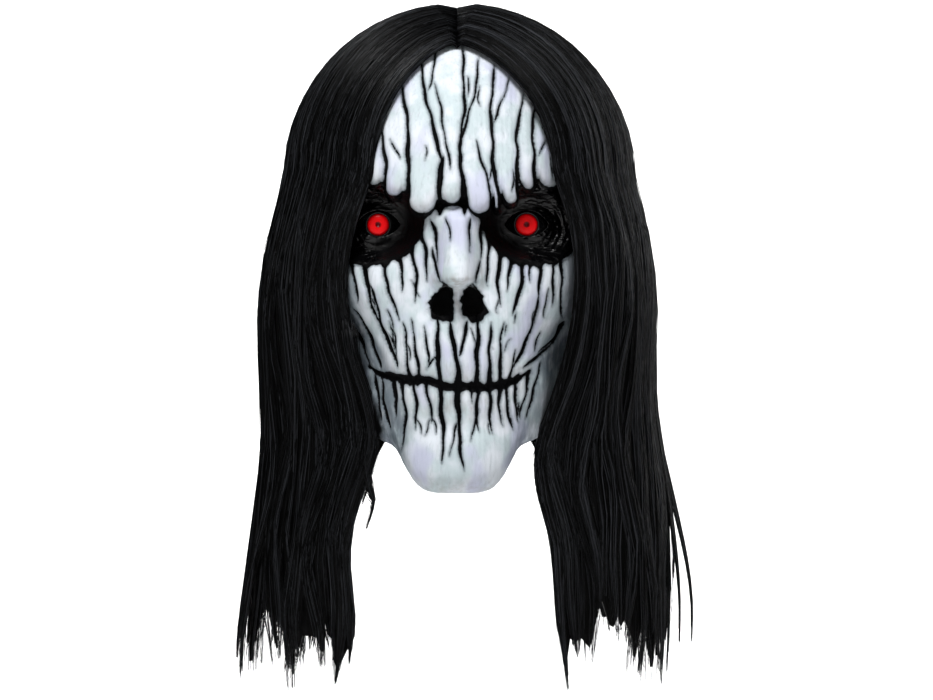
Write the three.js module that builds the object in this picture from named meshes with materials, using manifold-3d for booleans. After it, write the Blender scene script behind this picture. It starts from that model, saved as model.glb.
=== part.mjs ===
// A pull-on skull mask of latex with long black hair. The shell is cast in one piece, goes over the whole
// head and is open below the jaw. Two glossy black eyes with red irises sit behind the eyelids, and the hair
// is parted in the middle and falls in locks on both sides, in front of the shoulders.
// Millimetres, +Z up. The face looks along -Y, and +X, called right here, is on the right of someone who
// looks at it.
// The origin is the highest point inside the shell, where the mask sits on a head.

import * as THREE from 'three'
import { mergeVertices } from 'three/addons/utils/BufferGeometryUtils.js'
import Module from 'manifold-3d'

const wasm = await Module()
wasm.setup()

// Driving sizes of the latex shell.
const wall = 3
const faceHeight = 264.5 // outer top of the head to the bottom of the chin
const domeHeight = 88 // outer top of the head to its widest level
const headWidth = 168
const faceDepth = 100 // axis of the head to the forehead
const backDepth = 98 // axis of the head to the back of the skull
const faceWidth = 132 // what shows between the two curtains of hair
const fit = 0.3 // gap between pieces that touch

// Driving sizes of the features of the face.
const browRise = 10
const browHeight = 26 // over which the brow fades into the forehead
const browLip = 2.5 // height over which the brow falls back into the sockets
const socketWidth = 56
const socketHeight = 43
const socketDepth = 13
const socketLean = 0.5 // how much deeper than at the eye the socket is beside the nose, as a share
const socketSlant = 0.12 // fall of the socket towards the temple
const eyeSpacing = 82
const eyeShift = -2.5 // the pair of eyes sits a little off the middle
const eyeDrop = 118 // below the outer top of the head
const eyeInset = 38 // forehead to the centre of an eyeball, front to back
const eyeRadius = 14
const eyeShell = 2 // wall of the hollow eyeball
const eyeDepth = 11 // front to back of the hollow eyeball
const lidThickness = 1.8
const lidBlend = 3
const lidWidth = 25
const upperLidRise = 8
const lowerLidFall = 7
const irisRadius = 6
const irisSkirt = 2 // straight side of the iris inside the eyeball
const irisBulge = 0.8 // how far the iris stands proud of the eyeball
const pupilRadius = 1.4
const pupilDepth = 0.9
const noseLength = 36
const noseRise = 18
const noseHalfWidth = 13
const noseShift = 0.5
const nostrilWidth = 12.5
const nostrilHeight = 17
const nostrilSpacing = 16
const nostrilDrop = 159
const nostrilLean = 11 // degrees that each one leans, with its top towards the middle
const nostrilDent = 3
const septumRise = 5
const cheekRise = 8
const cheekHollow = 7
const muzzleRise = 9
const chinRise = 8
const chinCrease = 2
const chinRound = 12 // radius of the edge under the chin
const mouthHeight = 5.4 // at the widest place of the slit
const mouthDepth = 2
const furrowWidth = 2.8 // of the widest furrow
const furrowDepth = 1.8
const furrowLift = 1.6 // how far a cutter stands out of the surface it cuts

// Driving sizes of the hair.
const hairLength = 389 // top of the hair to its longest tip
const hairTop = 10.5 // hair above the outer top of the shell
const hairDomeWidth = 198 // across the hair at the widest level of the head
const hairThickness = 16
const hairEdge = 3.5 // thickness of the front and back edges
const hairGap = 1 // smallest distance of the hair from the shell
const valleyDepth = 3.5 // grooves between the locks
const partingDip = 5.5
const partingGap = 0.6
const partingFront = 51 // degrees over the head from the front to the front end of the parting
const partingBack = 150 // and to its back end
const partingFrontDepth = 101
const partingBackDepth = 108

// Facets.
const frontColumns = 14 // on each half of the face
const sideColumns = 7 // from each side of the face round to the back
const domeRows = 7
const browRows = 3
const faceRows = 21
const chinRows = 3
const frontSpread = 64 // degrees round the head that the close columns take
const eyeSegments = 16
const hollowFrontColumns = 11
const hollowSideColumns = 6
const hollowDomeRows = 5
const hollowFaceRows = 16
const hollowRunOut = 30
const hollowReach = 8 // how far round a place the hollow looks for the lowest relief
const furrowStations = 4
const lockRows = 2 // in the free end of a lock

const shellTop = wall
const widestZ = shellTop - domeHeight
const outerHalf = headWidth / 2
const faceHalf = faceWidth / 2
const hairHalf = hairDomeWidth / 2
const eyeSetback = faceDepth - eyeInset // axis of the head to the centre of an eyeball

// Levels of the head, as shares: drop of the face height, width of half the head width, front and back of
// the two depths. A squareness of 2 is an ellipse, and more is boxier in front.
const headSections = [
  { drop: 0.333, width: 0.975, front: 1.0, back: 1.0, square: 2.0 },
  { drop: 0.408, width: 1.0, front: 1.0, back: 0.99, square: 2.0 },
  { drop: 0.503, width: 0.985, front: 0.97, back: 0.95, square: 2.05 },
  { drop: 0.601, width: 0.93, front: 0.94, back: 0.89, square: 2.05 },
  { drop: 0.692, width: 0.845, front: 0.93, back: 0.83, square: 2.05 },
  { drop: 0.786, width: 0.75, front: 0.93, back: 0.79, square: 2.1 },
  { drop: 0.9, width: 0.635, front: 0.93, back: 0.77, square: 2.3 },
  { drop: 1.0, width: 0.53, front: 0.93, back: 0.77, square: 2.6 },
]

// The lower edge of the shell, by degrees round the head from the middle of the face, as a share of the
// face height.
const rimDrops = [
  { angle: 0, drop: 1.0 },
  { angle: 12, drop: 0.9985 },
  { angle: 20, drop: 0.989 },
  { angle: 26, drop: 0.97 },
  { angle: 31, drop: 0.942 },
  { angle: 35, drop: 0.914 },
  { angle: 41, drop: 0.9 },
  { angle: 56, drop: 0.888 },
  { angle: 75, drop: 0.865 },
  { angle: 95, drop: 0.835 },
  { angle: 130, drop: 0.795 },
  { angle: 180, drop: 0.785 },
]

// The lower edge of the brow: across as a share of half the face width, drop as a share of the face height.
const browEdge = [
  { across: 0, drop: 0.418 },
  { across: 0.2, drop: 0.424 },
  { across: 0.4, drop: 0.408 },
  { across: 0.6, drop: 0.385 },
  { across: 0.8, drop: 0.368 },
  { across: 1.1, drop: 0.37 },
]

// In the next three tables, places and reaches across and bows are shares of half the face width, and drops
// and reaches in height are shares of the face height.

// The soft bumps and hollows of the face, the same on both sides.
const bumps = [
  { rise: -nostrilDent, across: 0, drop: nostrilDrop / faceHeight, wide: 0.258, high: 0.0454 },
  { rise: septumRise, across: 0, drop: nostrilDrop / faceHeight, wide: 0.053, high: 0.0529 },
  { rise: cheekRise, across: 0.773, drop: 0.575, wide: 0.333, high: 0.0643 },
  { rise: -cheekHollow, across: 0.818, drop: 0.71, wide: 0.212, high: 0.0718 },
  { rise: muzzleRise, across: 0, drop: 0.72, wide: 0.485, high: 0.121 },
  { rise: chinRise, across: 0, drop: 0.95, wide: 0.47, high: 0.0832 },
  { rise: -chinCrease, across: 0, drop: 0.87, wide: 0.424, high: 0.0265 },
]

// The slit of the mouth, from its left corner to its right. Its height is a share of the mouth height.
const mouthLine = [
  { across: -0.758, drop: 0.7448, height: 0.28 },
  { across: -0.621, drop: 0.7618, height: 0.78 },
  { across: -0.455, drop: 0.7713, height: 0.85 },
  { across: -0.273, drop: 0.7732, height: 1 },
  { across: -0.091, drop: 0.7807, height: 0.81 },
  { across: 0.091, drop: 0.7826, height: 0.93 },
  { across: 0.258, drop: 0.7788, height: 0.78 },
  { across: 0.409, drop: 0.7769, height: 0.89 },
  { across: 0.515, drop: 0.7637, height: 0.67 },
  { across: 0.652, drop: 0.7486, height: 0.28 },
]

// The wide furrows, from their upper end to their lower, with the sideways bow half way down and the width
// as a share of the widest furrow.
const furrows = [
  // On the forehead.
  { across: -0.636, drop: 0.2306, toAcross: -0.606, toDrop: 0.3667, bow: 0.03, width: 0.86 },
  { across: -0.47, drop: 0.1474, toAcross: -0.424, toDrop: 0.3894, bow: 0.038, width: 1 },
  { across: -0.318, drop: 0.1021, toAcross: -0.136, toDrop: 0.4008, bow: -0.015, width: 0.93 },
  { across: 0.045, drop: 0.0794, toAcross: 0.076, toDrop: 0.397, bow: -0.023, width: 0.93 },
  { across: 0.182, drop: 0.1096, toAcross: 0.045, toDrop: 0.2911, bow: 0.03, width: 0.64 },
  { across: 0.318, drop: 0.121, toAcross: 0.364, toDrop: 0.4008, bow: -0.03, width: 0.93 },
  { across: 0.152, drop: 0.2836, toAcross: 0.273, toDrop: 0.4045, bow: 0.015, width: 0.64 },
  { across: 0.561, drop: 0.1739, toAcross: 0.53, toDrop: 0.3667, bow: -0.038, width: 0.86 },
  { across: 0.667, drop: 0.2004, toAcross: 0.682, toDrop: 0.3592, bow: -0.015, width: 0.86 },
  // On the cheeks.
  { across: -0.712, drop: 0.586, toAcross: -0.485, toDrop: 0.7448, bow: -0.015, width: 0.79 },
  { across: -0.576, drop: 0.5406, toAcross: -0.47, toDrop: 0.6465, bow: -0.015, width: 0.86 },
  { across: -0.833, drop: 0.6314, toAcross: -0.621, toDrop: 0.7486, bow: 0.03, width: 0.86 },
  { across: 0.394, drop: 0.5406, toAcross: 0.364, toDrop: 0.6238, bow: -0.023, width: 0.79 },
  { across: 0.561, drop: 0.5482, toAcross: 0.455, toDrop: 0.6314, bow: 0.023, width: 0.86 },
  { across: 0.697, drop: 0.552, toAcross: 0.47, toDrop: 0.7448, bow: 0.045, width: 0.86 },
  { across: 0.879, drop: 0.6389, toAcross: 0.606, toDrop: 0.7221, bow: 0.03, width: 0.71 },
  // Over the upper lip.
  { across: -0.379, drop: 0.6465, toAcross: -0.333, toDrop: 0.7637, bow: 0.015, width: 0.71 },
  { across: -0.167, drop: 0.6465, toAcross: -0.152, toDrop: 0.7713, bow: 0.008, width: 0.93 },
  { across: -0.061, drop: 0.6465, toAcross: 0.015, toDrop: 0.775, bow: 0.015, width: 1 },
  { across: 0.091, drop: 0.6465, toAcross: 0.015, toDrop: 0.7146, bow: 0.008, width: 0.71 },
  { across: 0.167, drop: 0.6465, toAcross: 0.167, toDrop: 0.775, bow: 0.008, width: 1 },
  { across: 0.288, drop: 0.6616, toAcross: 0.273, toDrop: 0.7713, bow: 0, width: 0.86 },
  // Under the lower lip.
  { across: -0.652, drop: 0.7788, toAcross: -0.561, toDrop: 0.8696, bow: -0.023, width: 0.71 },
  { across: -0.5, drop: 0.7864, toAcross: -0.455, toDrop: 0.9112, bow: 0.03, width: 0.71 },
  { across: -0.273, drop: 0.7902, toAcross: -0.197, toDrop: 0.8582, bow: 0.015, width: 0.71 },
  { across: -0.152, drop: 0.794, toAcross: -0.121, toDrop: 0.9414, bow: 0.015, width: 0.86 },
  { across: 0.015, drop: 0.7977, toAcross: 0.061, toDrop: 0.949, bow: -0.023, width: 1 },
  { across: 0.197, drop: 0.794, toAcross: 0.182, toDrop: 0.8733, bow: -0.023, width: 0.71 },
  { across: 0.409, drop: 0.7864, toAcross: 0.455, toDrop: 0.8733, bow: -0.03, width: 0.71 },
]

// Levels of the hair, by their drop as a share of the hair length: half the width that it shows on the left
// and on the right and the place across of its back edge, as shares of half the hair's width over the dome,
// the places across of its front edges as shares of half the face width, and how far both edges lie in front
// of the axis and behind it, as shares of the two depths of the head.
const hairLevels = [
  { drop: 0.249, outL: 1, outR: 1.02, edgeL: 0.7, edgeR: 0.8, edgeY: 0.93, backX: 0.01, backY: 1.12 },
  { drop: 0.316, outL: 1.07, outR: 1.09, edgeL: 0.83, edgeR: 0.94, edgeY: 0.86, backX: 0.01, backY: 1.1 },
  { drop: 0.375, outL: 1.12, outR: 1.13, edgeL: 0.91, edgeR: 0.98, edgeY: 0.77, backX: 0.01, backY: 1.05 },
  { drop: 0.434, outL: 1.15, outR: 1.15, edgeL: 0.92, edgeR: 0.98, edgeY: 0.7, backX: 0.03, backY: 0.99 },
  { drop: 0.506, outL: 1.15, outR: 1.14, edgeL: 0.85, edgeR: 0.91, edgeY: 0.66, backX: 0.12, backY: 0.91 },
  { drop: 0.576, outL: 1.14, outR: 1.14, edgeL: 0.71, edgeR: 0.79, edgeY: 0.64, backX: 0.26, backY: 0.81 },
  { drop: 0.637, outL: 1.13, outR: 1.17, edgeL: 0.65, edgeR: 0.65, edgeY: 0.62, backX: 0.42, backY: 0.7 },
  { drop: 0.704, outL: 1.16, outR: 1.22, edgeL: 0.8, edgeR: 0.67, edgeY: 0.6, backX: 0.56, backY: 0.61 },
  { drop: 0.779, outL: 1.2, outR: 1.28, edgeL: 0.91, edgeR: 0.79, edgeY: 0.58, backX: 0.63, backY: 0.53 },
  { drop: 0.851, outL: 1.22, outR: 1.33, edgeL: 0.88, edgeR: 0.82, edgeY: 0.56, backX: 0.65, backY: 0.48 },
  { drop: 0.923, outL: 1.24, outR: 1.35, edgeL: 0.83, edgeR: 0.83, edgeY: 0.55, backX: 0.67, backY: 0.44 },
  { drop: 1.008, outL: 1.25, outR: 1.36, edgeL: 0.83, edgeR: 0.86, edgeY: 0.54, backX: 0.68, backY: 0.41 },
]

// The locks of each side from the front edge to the back: where each ends round the side as a share, the
// drop of its tip as a share of the hair length, and how far the tip swings round the side, as a share too.
const locksLeft = [
  { end: 0.1, tip: 0.9743, swing: 0 },
  { end: 0.21, tip: 0.9949, swing: 0.01 },
  { end: 0.32, tip: 1, swing: -0.01 },
  { end: 0.42, tip: 0.9769, swing: 0.005 },
  { end: 0.53, tip: 0.9897, swing: 0.01 },
  { end: 0.65, tip: 0.982, swing: -0.01 },
  { end: 0.77, tip: 0.964, swing: 0.01 },
  { end: 0.89, tip: 0.9871, swing: 0 },
  { end: 1, tip: 0.9512, swing: -0.01 },
]
const locksRight = [
  { end: 0.11, tip: 0.9794, swing: 0.005 },
  { end: 0.22, tip: 0.9666, swing: 0.01 },
  { end: 0.33, tip: 0.9537, swing: 0 },
  { end: 0.43, tip: 1, swing: -0.01 },
  { end: 0.54, tip: 0.9871, swing: 0.01 },
  { end: 0.66, tip: 0.9717, swing: 0 },
  { end: 0.78, tip: 0.9897, swing: -0.01 },
  { end: 0.89, tip: 0.9589, swing: 0.01 },
  { end: 1, tip: 0.9769, swing: 0 },
]

const clamp = (t, low, high) => Math.min(high, Math.max(low, t))
const mix = (a, b, t) => a + (b - a) * t
const easeStep = (t) => clamp(t, 0, 1) ** 2 * (3 - 2 * clamp(t, 0, 1))
const radians = THREE.MathUtils.degToRad

// The value of one column of a table at a place between its rows, on a smooth curve through the rows.
function read(table, key, column, at) {
  const last = table.length - 1
  if (at <= table[0][key]) return table[0][column]
  if (at >= table[last][key]) return table[last][column]
  let k = 0
  while (at > table[k + 1][key]) k++
  const slope = (i) => {
    if (i === 0 || i === last) return 0
    return (table[i + 1][column] - table[i - 1][column]) / (table[i + 1][key] - table[i - 1][key])
  }
  const span = table[k + 1][key] - table[k][key]
  const t = (at - table[k][key]) / span
  const start = slope(k) * span
  const end = slope(k + 1) * span
  const rise = table[k + 1][column] - table[k][column]
  const bend = t * t * (3 * rise - 2 * start - end) + t * t * t * (start + end - 2 * rise)
  return table[k][column] + t * start + bend
}

const dropOf = (z) => (shellTop - z) / faceHeight
const levelOf = (drop) => shellTop - drop * faceHeight
const rimLevel = (angle) => levelOf(read(rimDrops, 'angle', 'drop', Math.abs(angle)))
const hairDropOf = (z) => (shellTop + hairTop - z) / hairLength
const hairLevelOf = (drop) => shellTop + hairTop - drop * hairLength

// Half width, front and back of the head at a level.
function levelSizes(z) {
  const drop = dropOf(z)
  const above = clamp((z - widestZ) / domeHeight, 0, 1)
  const dome = Math.sqrt(1 - above * above)
  return {
    half: outerHalf * dome * read(headSections, 'drop', 'width', drop),
    front: faceDepth * dome * read(headSections, 'drop', 'front', drop),
    back: backDepth * dome * read(headSections, 'drop', 'back', drop),
    square: read(headSections, 'drop', 'square', drop),
  }
}

const eyeZ = shellTop - eyeDrop
const eyeX = (side) => side * (eyeSpacing / 2) + eyeShift
const eyeY = -eyeSetback
const nostrilZ = shellTop - nostrilDrop
const noseTopZ = levelOf(0.425)
const noseTipZ = noseTopZ - noseLength

// The higher of two heights, with a soft bend between them.
function softMax(a, b, blend) {
  const share = clamp(0.5 + (a - b) / (2 * blend), 0, 1)
  return mix(b, a, share) + blend * share * (1 - share)
}

// The level of the lower edge of the brow.
const browLevel = (x) => levelOf(read(browEdge, 'across', 'drop', Math.abs(x) / faceHalf))

// How far the sockets, with the lids in them, lie from the plain surface of the face.
function socketRelief(x, z, plainY) {
  const side = x < eyeShift ? -1 : 1
  const out = side * (x - eyeX(side))
  const up = (z - eyeZ + out * socketSlant) / (socketHeight / 2)
  const reach = (out / (socketWidth / 2)) ** 2 + up * up
  const floor = -socketDepth * (1 - (out / (socketWidth / 2)) * socketLean) * easeStep((1 - reach) / 0.75)
  const lidRadius = eyeRadius + fit + lidThickness
  const fromEye = Math.hypot(out, z - eyeZ)
  const round = Math.min(fromEye, 0.75 * lidRadius)
  const cap = Math.sqrt(lidRadius * lidRadius - round * round)
  const lid = plainY + eyeSetback + cap - (fromEye - round) * (round / cap)
  return softMax(floor, lid, lidBlend) * easeStep((1.7 - reach) / 0.6)
}

// How far the features stand out of the plain head, towards the front.
function relief(x, z, plainY) {
  const ax = Math.abs(x)
  const browZ = browLevel(x)
  const overBrow = easeStep((z - browZ) / browLip + 1)
  const fall = Math.exp(-(((z - browZ) / browHeight) ** 2))
  const brow = browRise * fall * overBrow * (1 - 0.25 * easeStep(ax / faceHalf))
  const sockets = socketRelief(x, z, plainY) * (1 - overBrow)
  const along = clamp((noseTopZ - z) / noseLength, 0, 1)
  const noseHalf = noseHalfWidth * mix(0.75, 1, along)
  const noseEnd = 1 - easeStep((noseTipZ - z) / (noseLength / 4))
  const noseStart = easeStep((noseTopZ - z) / (noseLength / 3.6) + 0.6)
  const ridge = easeStep(1.25 - Math.abs(x - noseShift) / noseHalf)
  const nose = noseRise * mix(0.4, 1, along) * ridge * noseStart * noseEnd
  let height = brow + sockets + nose
  for (const { rise, across, drop, wide, high } of bumps) {
    height += rise * Math.exp(-(((ax / faceHalf - across) / wide) ** 2) - ((dropOf(z) - drop) / high) ** 2)
  }
  return height
}

// The relief that the hollow follows: the lowest within a reach of each place, so that no wall is thin.
function hollowRelief(x, z, plainY) {
  let lowest = relief(x, z, plainY)
  for (const reach of [hollowReach / 2, hollowReach]) {
    for (let turn = 0; turn < 360; turn += 45) {
      const nearX = x + reach * Math.cos(radians(turn))
      const nearZ = z + reach * Math.sin(radians(turn))
      lowest = Math.min(lowest, relief(nearX, nearZ, plainY))
    }
  }
  return lowest
}

// A point of the outer surface, by degrees round the head from the middle of the face and by level.
function shellPoint(angle, z, form = relief) {
  const { half, front, back, square } = levelSizes(z)
  const turn = radians(angle)
  const across = Math.sign(Math.sin(turn)) * Math.abs(Math.sin(turn)) ** (2 / square)
  const deep = Math.abs(Math.cos(turn)) ** (2 / square)
  if (Math.abs(angle) > 90) return new THREE.Vector3(half * Math.sin(turn), -back * Math.cos(turn), z)
  const x = half * across
  const plainY = -front * deep
  const fade = 1 - easeStep((Math.abs(across) - 0.8) / 0.17)
  const overRim = z - rimLevel(angle)
  const round = chinRound * (1 - easeStep((Math.abs(angle) - 36) / 14))
  const bend = clamp(0.94 * (1 - overRim / (0.94 * Math.max(round, 0.01))), 0, 0.94)
  const retreat = round * (1 - Math.sqrt(1 - bend * bend))
  return new THREE.Vector3(x, plainY - form(x, z, plainY) * fade + retreat, z)
}

const noRelief = () => 0

// The outward direction of the outer surface.
function shellNormal(angle, z, form = relief) {
  const step = 0.5
  const low = z - step > rimLevel(angle) ? z - step : z
  const high = Math.min(z + step, shellTop - 0.01)
  const round = shellPoint(angle + step, z, form).sub(shellPoint(angle - step, z, form))
  const down = shellPoint(angle, low, form).sub(shellPoint(angle, high, form))
  return round.cross(down).normalize().negate()
}

// The point of the face at a place across and a level.
function facePoint(x, z) {
  const { half, square } = levelSizes(z)
  const sine = clamp(Math.abs(x) / half, 0, 1) ** (square / 2)
  return shellPoint(Math.sign(x) * THREE.MathUtils.radToDeg(Math.asin(sine)), z)
}

// Degrees round the head of each column of facets, closer together over the face.
function columnAngles(front, sides) {
  const half = []
  for (let i = 0; i < front; i++) half.push(frontSpread * (i / front) ** 1.25)
  for (let i = 0; i < sides; i++) half.push(mix(frontSpread, 180, i / sides))
  const mirrored = half.slice(1).reverse()
  return [...half, 180, ...mirrored.map((angle) => -angle)]
}

// The levels of the rows of the dome, from under the crown to the widest level.
function domeLevels(rows) {
  const levels = []
  for (let i = 1; i <= rows; i++) {
    levels.push(widestZ + domeHeight * Math.cos((Math.PI / 2) * (i / rows)))
  }
  return levels
}

// The levels of the rows of facets in one column. One row runs along the edge of the brow and one under it.
function rowLevels(angle) {
  const levels = domeLevels(domeRows)
  const browZ = browLevel(shellPoint(angle, levelOf(0.4)).x)
  for (let i = 1; i <= browRows; i++) levels.push(mix(widestZ, browZ, i / browRows))
  const bottom = rimLevel(angle)
  const under = browZ - browLip
  for (let i = 0; i <= faceRows; i++) levels.push(mix(under, bottom + chinRound, (i / faceRows) ** 1.08))
  for (let i = 1; i <= chinRows; i++) {
    levels.push(bottom + chinRound * (1 - Math.sin((Math.PI / 2) * (i / chinRows))))
  }
  return levels
}

// A closed geometry from a top point, rings of points that all have as many, and a bottom point. Each
// four-cornered facet is split along its shorter diagonal.
function closedRings(top, rings, bottom) {
  const positions = []
  const faces = []
  const count = rings[0].length
  for (const point of [top, ...rings.flat(), bottom]) positions.push(point.x, point.y, point.z)
  const at = (ring, column) => 1 + ring * count + (column % count)
  const end = 1 + rings.length * count
  const apart = (ring, column, nextRing, nextColumn) => {
    return rings[ring][column % count].distanceTo(rings[nextRing][nextColumn % count])
  }
  for (let j = 0; j < count; j++) {
    faces.push(0, at(0, j), at(0, j + 1))
    for (let i = 0; i + 1 < rings.length; i++) {
      const [a, b, c, d] = [at(i, j), at(i + 1, j), at(i + 1, j + 1), at(i, j + 1)]
      if (apart(i, j, i + 1, j + 1) < apart(i + 1, j, i, j + 1)) faces.push(a, b, c, a, c, d)
      else faces.push(a, b, d, b, c, d)
    }
    faces.push(end, at(rings.length - 1, j + 1), at(rings.length - 1, j))
  }
  const geometry = new THREE.BufferGeometry()
  geometry.setAttribute('position', new THREE.Float32BufferAttribute(positions, 3))
  geometry.setIndex(faces)
  return geometry
}

// A closed geometry as a solid that can be cut and joined.
function solidOf(geometry) {
  const plain = geometry.clone()
  plain.deleteAttribute('normal')
  plain.deleteAttribute('uv')
  const merged = mergeVertices(plain, 1e-4)
  return new wasm.Manifold(
    new wasm.Mesh({
      numProp: 3,
      vertProperties: new Float32Array(merged.attributes.position.array),
      triVerts: new Uint32Array(merged.index.array),
    }),
  )
}

// A solid as a geometry that a mesh can show.
function geometryOf(solid) {
  const mesh = solid.getMesh()
  const geometry = new THREE.BufferGeometry()
  const positions = new Float32Array(mesh.numVert * 3)
  for (let i = 0; i < mesh.numVert; i++) {
    positions.set(mesh.vertProperties.subarray(i * mesh.numProp, i * mesh.numProp + 3), i * 3)
  }
  geometry.setAttribute('position', new THREE.BufferAttribute(positions, 3))
  geometry.setIndex(new THREE.BufferAttribute(new Uint32Array(mesh.triVerts), 1))
  geometry.computeVertexNormals()
  return geometry
}

// Columns of points from under the crown to the rim become a closed solid.
function blockOf(columns, topZ, footZ) {
  const rings = columns[0].map((_, row) => columns.map((points) => points[row]))
  return solidOf(closedRings(new THREE.Vector3(0, 0, topZ), rings, new THREE.Vector3(0, 0, footZ)))
}

// The head as a solid block, its surface moved outwards by a distance.
function headBlock(grow) {
  const columns = columnAngles(frontColumns, sideColumns).map((angle) => {
    return rowLevels(angle).map((z) => shellPoint(angle, z).addScaledVector(shellNormal(angle, z), grow))
  })
  return blockOf(columns, shellTop + grow, levelOf(0.86))
}

// The space inside the shell as a solid block, which runs on below the rim.
function hollowBlock() {
  const columns = columnAngles(hollowFrontColumns, hollowSideColumns).map((angle) => {
    const levels = domeLevels(hollowDomeRows)
    for (let i = 1; i <= hollowFaceRows; i++) levels.push(mix(widestZ, rimLevel(angle), i / hollowFaceRows))
    const points = levels.map((z) => {
      const inwards = shellNormal(angle, z, noRelief).multiplyScalar(-wall)
      return shellPoint(angle, z, hollowRelief).add(inwards)
    })
    const rim = points.at(-1)
    return [...points, new THREE.Vector3(rim.x, rim.y, levelOf(1) - hollowRunOut)]
  })
  return blockOf(columns, shellTop - wall, levelOf(1) - hollowRunOut)
}

// A solid turned round the line of sight of one eye. Its profile gives radii and distances forwards.
function turnedAtEye(side, profile) {
  const points = profile.toReversed().map(([radius, forward]) => new THREE.Vector2(radius, forward))
  const geometry = new THREE.LatheGeometry(points, eyeSegments)
  geometry.rotateX(Math.PI)
  geometry.translate(eyeX(side), eyeY, eyeZ)
  return solidOf(geometry)
}

// Points of an arc round the centre of an eyeball, by degrees from straight ahead.
function eyeArc(radius, from, to, steps) {
  const points = []
  for (let i = 0; i <= steps; i++) {
    const turn = radians(mix(from, to, i / steps))
    points.push([radius * Math.sin(turn), radius * Math.cos(turn)])
  }
  return points
}

const eyeRimTurn = THREE.MathUtils.radToDeg(Math.acos((eyeRadius - eyeDepth) / eyeRadius))
const irisHole = irisRadius + fit
const holeTurn = (radius) => THREE.MathUtils.radToDeg(Math.asin(irisHole / radius))

// The hollow eyeball, with a round hole for the iris.
function eyeballSolid(side) {
  const outside = eyeArc(eyeRadius, holeTurn(eyeRadius), eyeRimTurn, 3)
  const inside = eyeArc(eyeRadius - eyeShell, eyeRimTurn, holeTurn(eyeRadius - eyeShell), 3)
  return turnedAtEye(side, [...outside, ...inside, outside[0]])
}

// The pocket in the lids that the eyeball sits in. Its facets run along those of the eyeball.
function pocketSolid(side) {
  const ball = eyeArc(eyeRadius + fit, holeTurn(eyeRadius), eyeRimTurn, 3)
  const back = -2 * eyeShell
  const front = [0, eyeRadius + fit]
  return turnedAtEye(side, [front, ...ball, [ball.at(-1)[0], back], [0, back], front])
}

// The iris, a clear button that stands proud of the eyeball, with a dimple for the pupil.
function irisSolid(side) {
  const edge = Math.sqrt(eyeRadius ** 2 - irisRadius ** 2)
  const top = eyeRadius + irisBulge
  const back = edge - irisSkirt
  const profile = [
    [0, top - pupilDepth],
    [pupilRadius, top],
    [irisRadius * 0.5, mix(edge, top, 0.9)],
    [irisRadius * 0.8, mix(edge, top, 0.6)],
    [irisRadius, edge + irisBulge / 4],
    [irisRadius, back],
    [0, back],
    [0, top - pupilDepth],
  ]
  return turnedAtEye(side, profile)
}

// The opening between the lids, as a block that cuts through them.
function lidOpening(side) {
  const shape = new THREE.Shape()
  const steps = 7
  for (let i = 0; i < 2 * steps; i++) {
    const turn = (Math.PI * i) / steps
    const height = Math.sin(turn) > 0 ? upperLidRise : lowerLidFall
    const x = (lidWidth / 2) * Math.cos(turn)
    const z = height * Math.sin(turn) * Math.abs(Math.sin(turn)) ** 0.35
    if (i) shape.lineTo(x, z)
    else shape.moveTo(x, z)
  }
  const geometry = new THREE.ExtrudeGeometry(shape, { depth: 0.4 * faceDepth, bevelEnabled: false })
  geometry.rotateX(Math.PI / 2)
  geometry.translate(eyeX(side), eyeY - eyeShell, eyeZ)
  return solidOf(geometry)
}

// One pierced nostril.
function nostrilOpening(side) {
  const shape = new THREE.Shape()
  shape.absellipse(0, 0, nostrilWidth / 2, nostrilHeight / 2, 0, 2 * Math.PI)
  const settings = { depth: 0.6 * faceDepth, bevelEnabled: false, curveSegments: 6 }
  const geometry = new THREE.ExtrudeGeometry(shape, settings)
  geometry.rotateX(Math.PI / 2)
  geometry.rotateY(radians(-side * nostrilLean))
  geometry.translate((side * nostrilSpacing) / 2, -faceDepth / 2, nostrilZ)
  return solidOf(geometry)
}

// A groove cutter along a line on the face. Each station has a place across, a level and a width.
function grooveSolid(stations, depth, lift) {
  const ends = [stations[0], stations.at(-1)].map(({ x, z }) => {
    const point = facePoint(x, z)
    return point.setY(point.y - lift / 2)
  })
  const rings = stations.slice(1, -1).map(({ x, z, width }) => {
    const point = facePoint(x, z)
    const spread = (width / 2) * (1 + lift / depth)
    const left = new THREE.Vector3(x - spread, facePoint(x - width / 2, z).y - lift, z)
    const right = new THREE.Vector3(x + spread, facePoint(x + width / 2, z).y - lift, z)
    return [right, new THREE.Vector3(x, point.y + depth, z), left]
  })
  return solidOf(closedRings(ends[0], rings, ends[1]))
}

// The cutter of one furrow, from its row in the table.
function furrowSolid({ across, drop, toAcross, toDrop, bow, width }) {
  const stations = []
  for (let i = 0; i <= furrowStations; i++) {
    const t = i / furrowStations
    const sway = bow * Math.sin(Math.PI * t)
    const x = faceHalf * (mix(across, toAcross, t) + sway)
    stations.push({ x, z: levelOf(mix(drop, toDrop, t)), width: furrowWidth * width * mix(0.7, 1.1, t) })
  }
  return grooveSolid(stations, furrowDepth, furrowLift)
}

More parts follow.
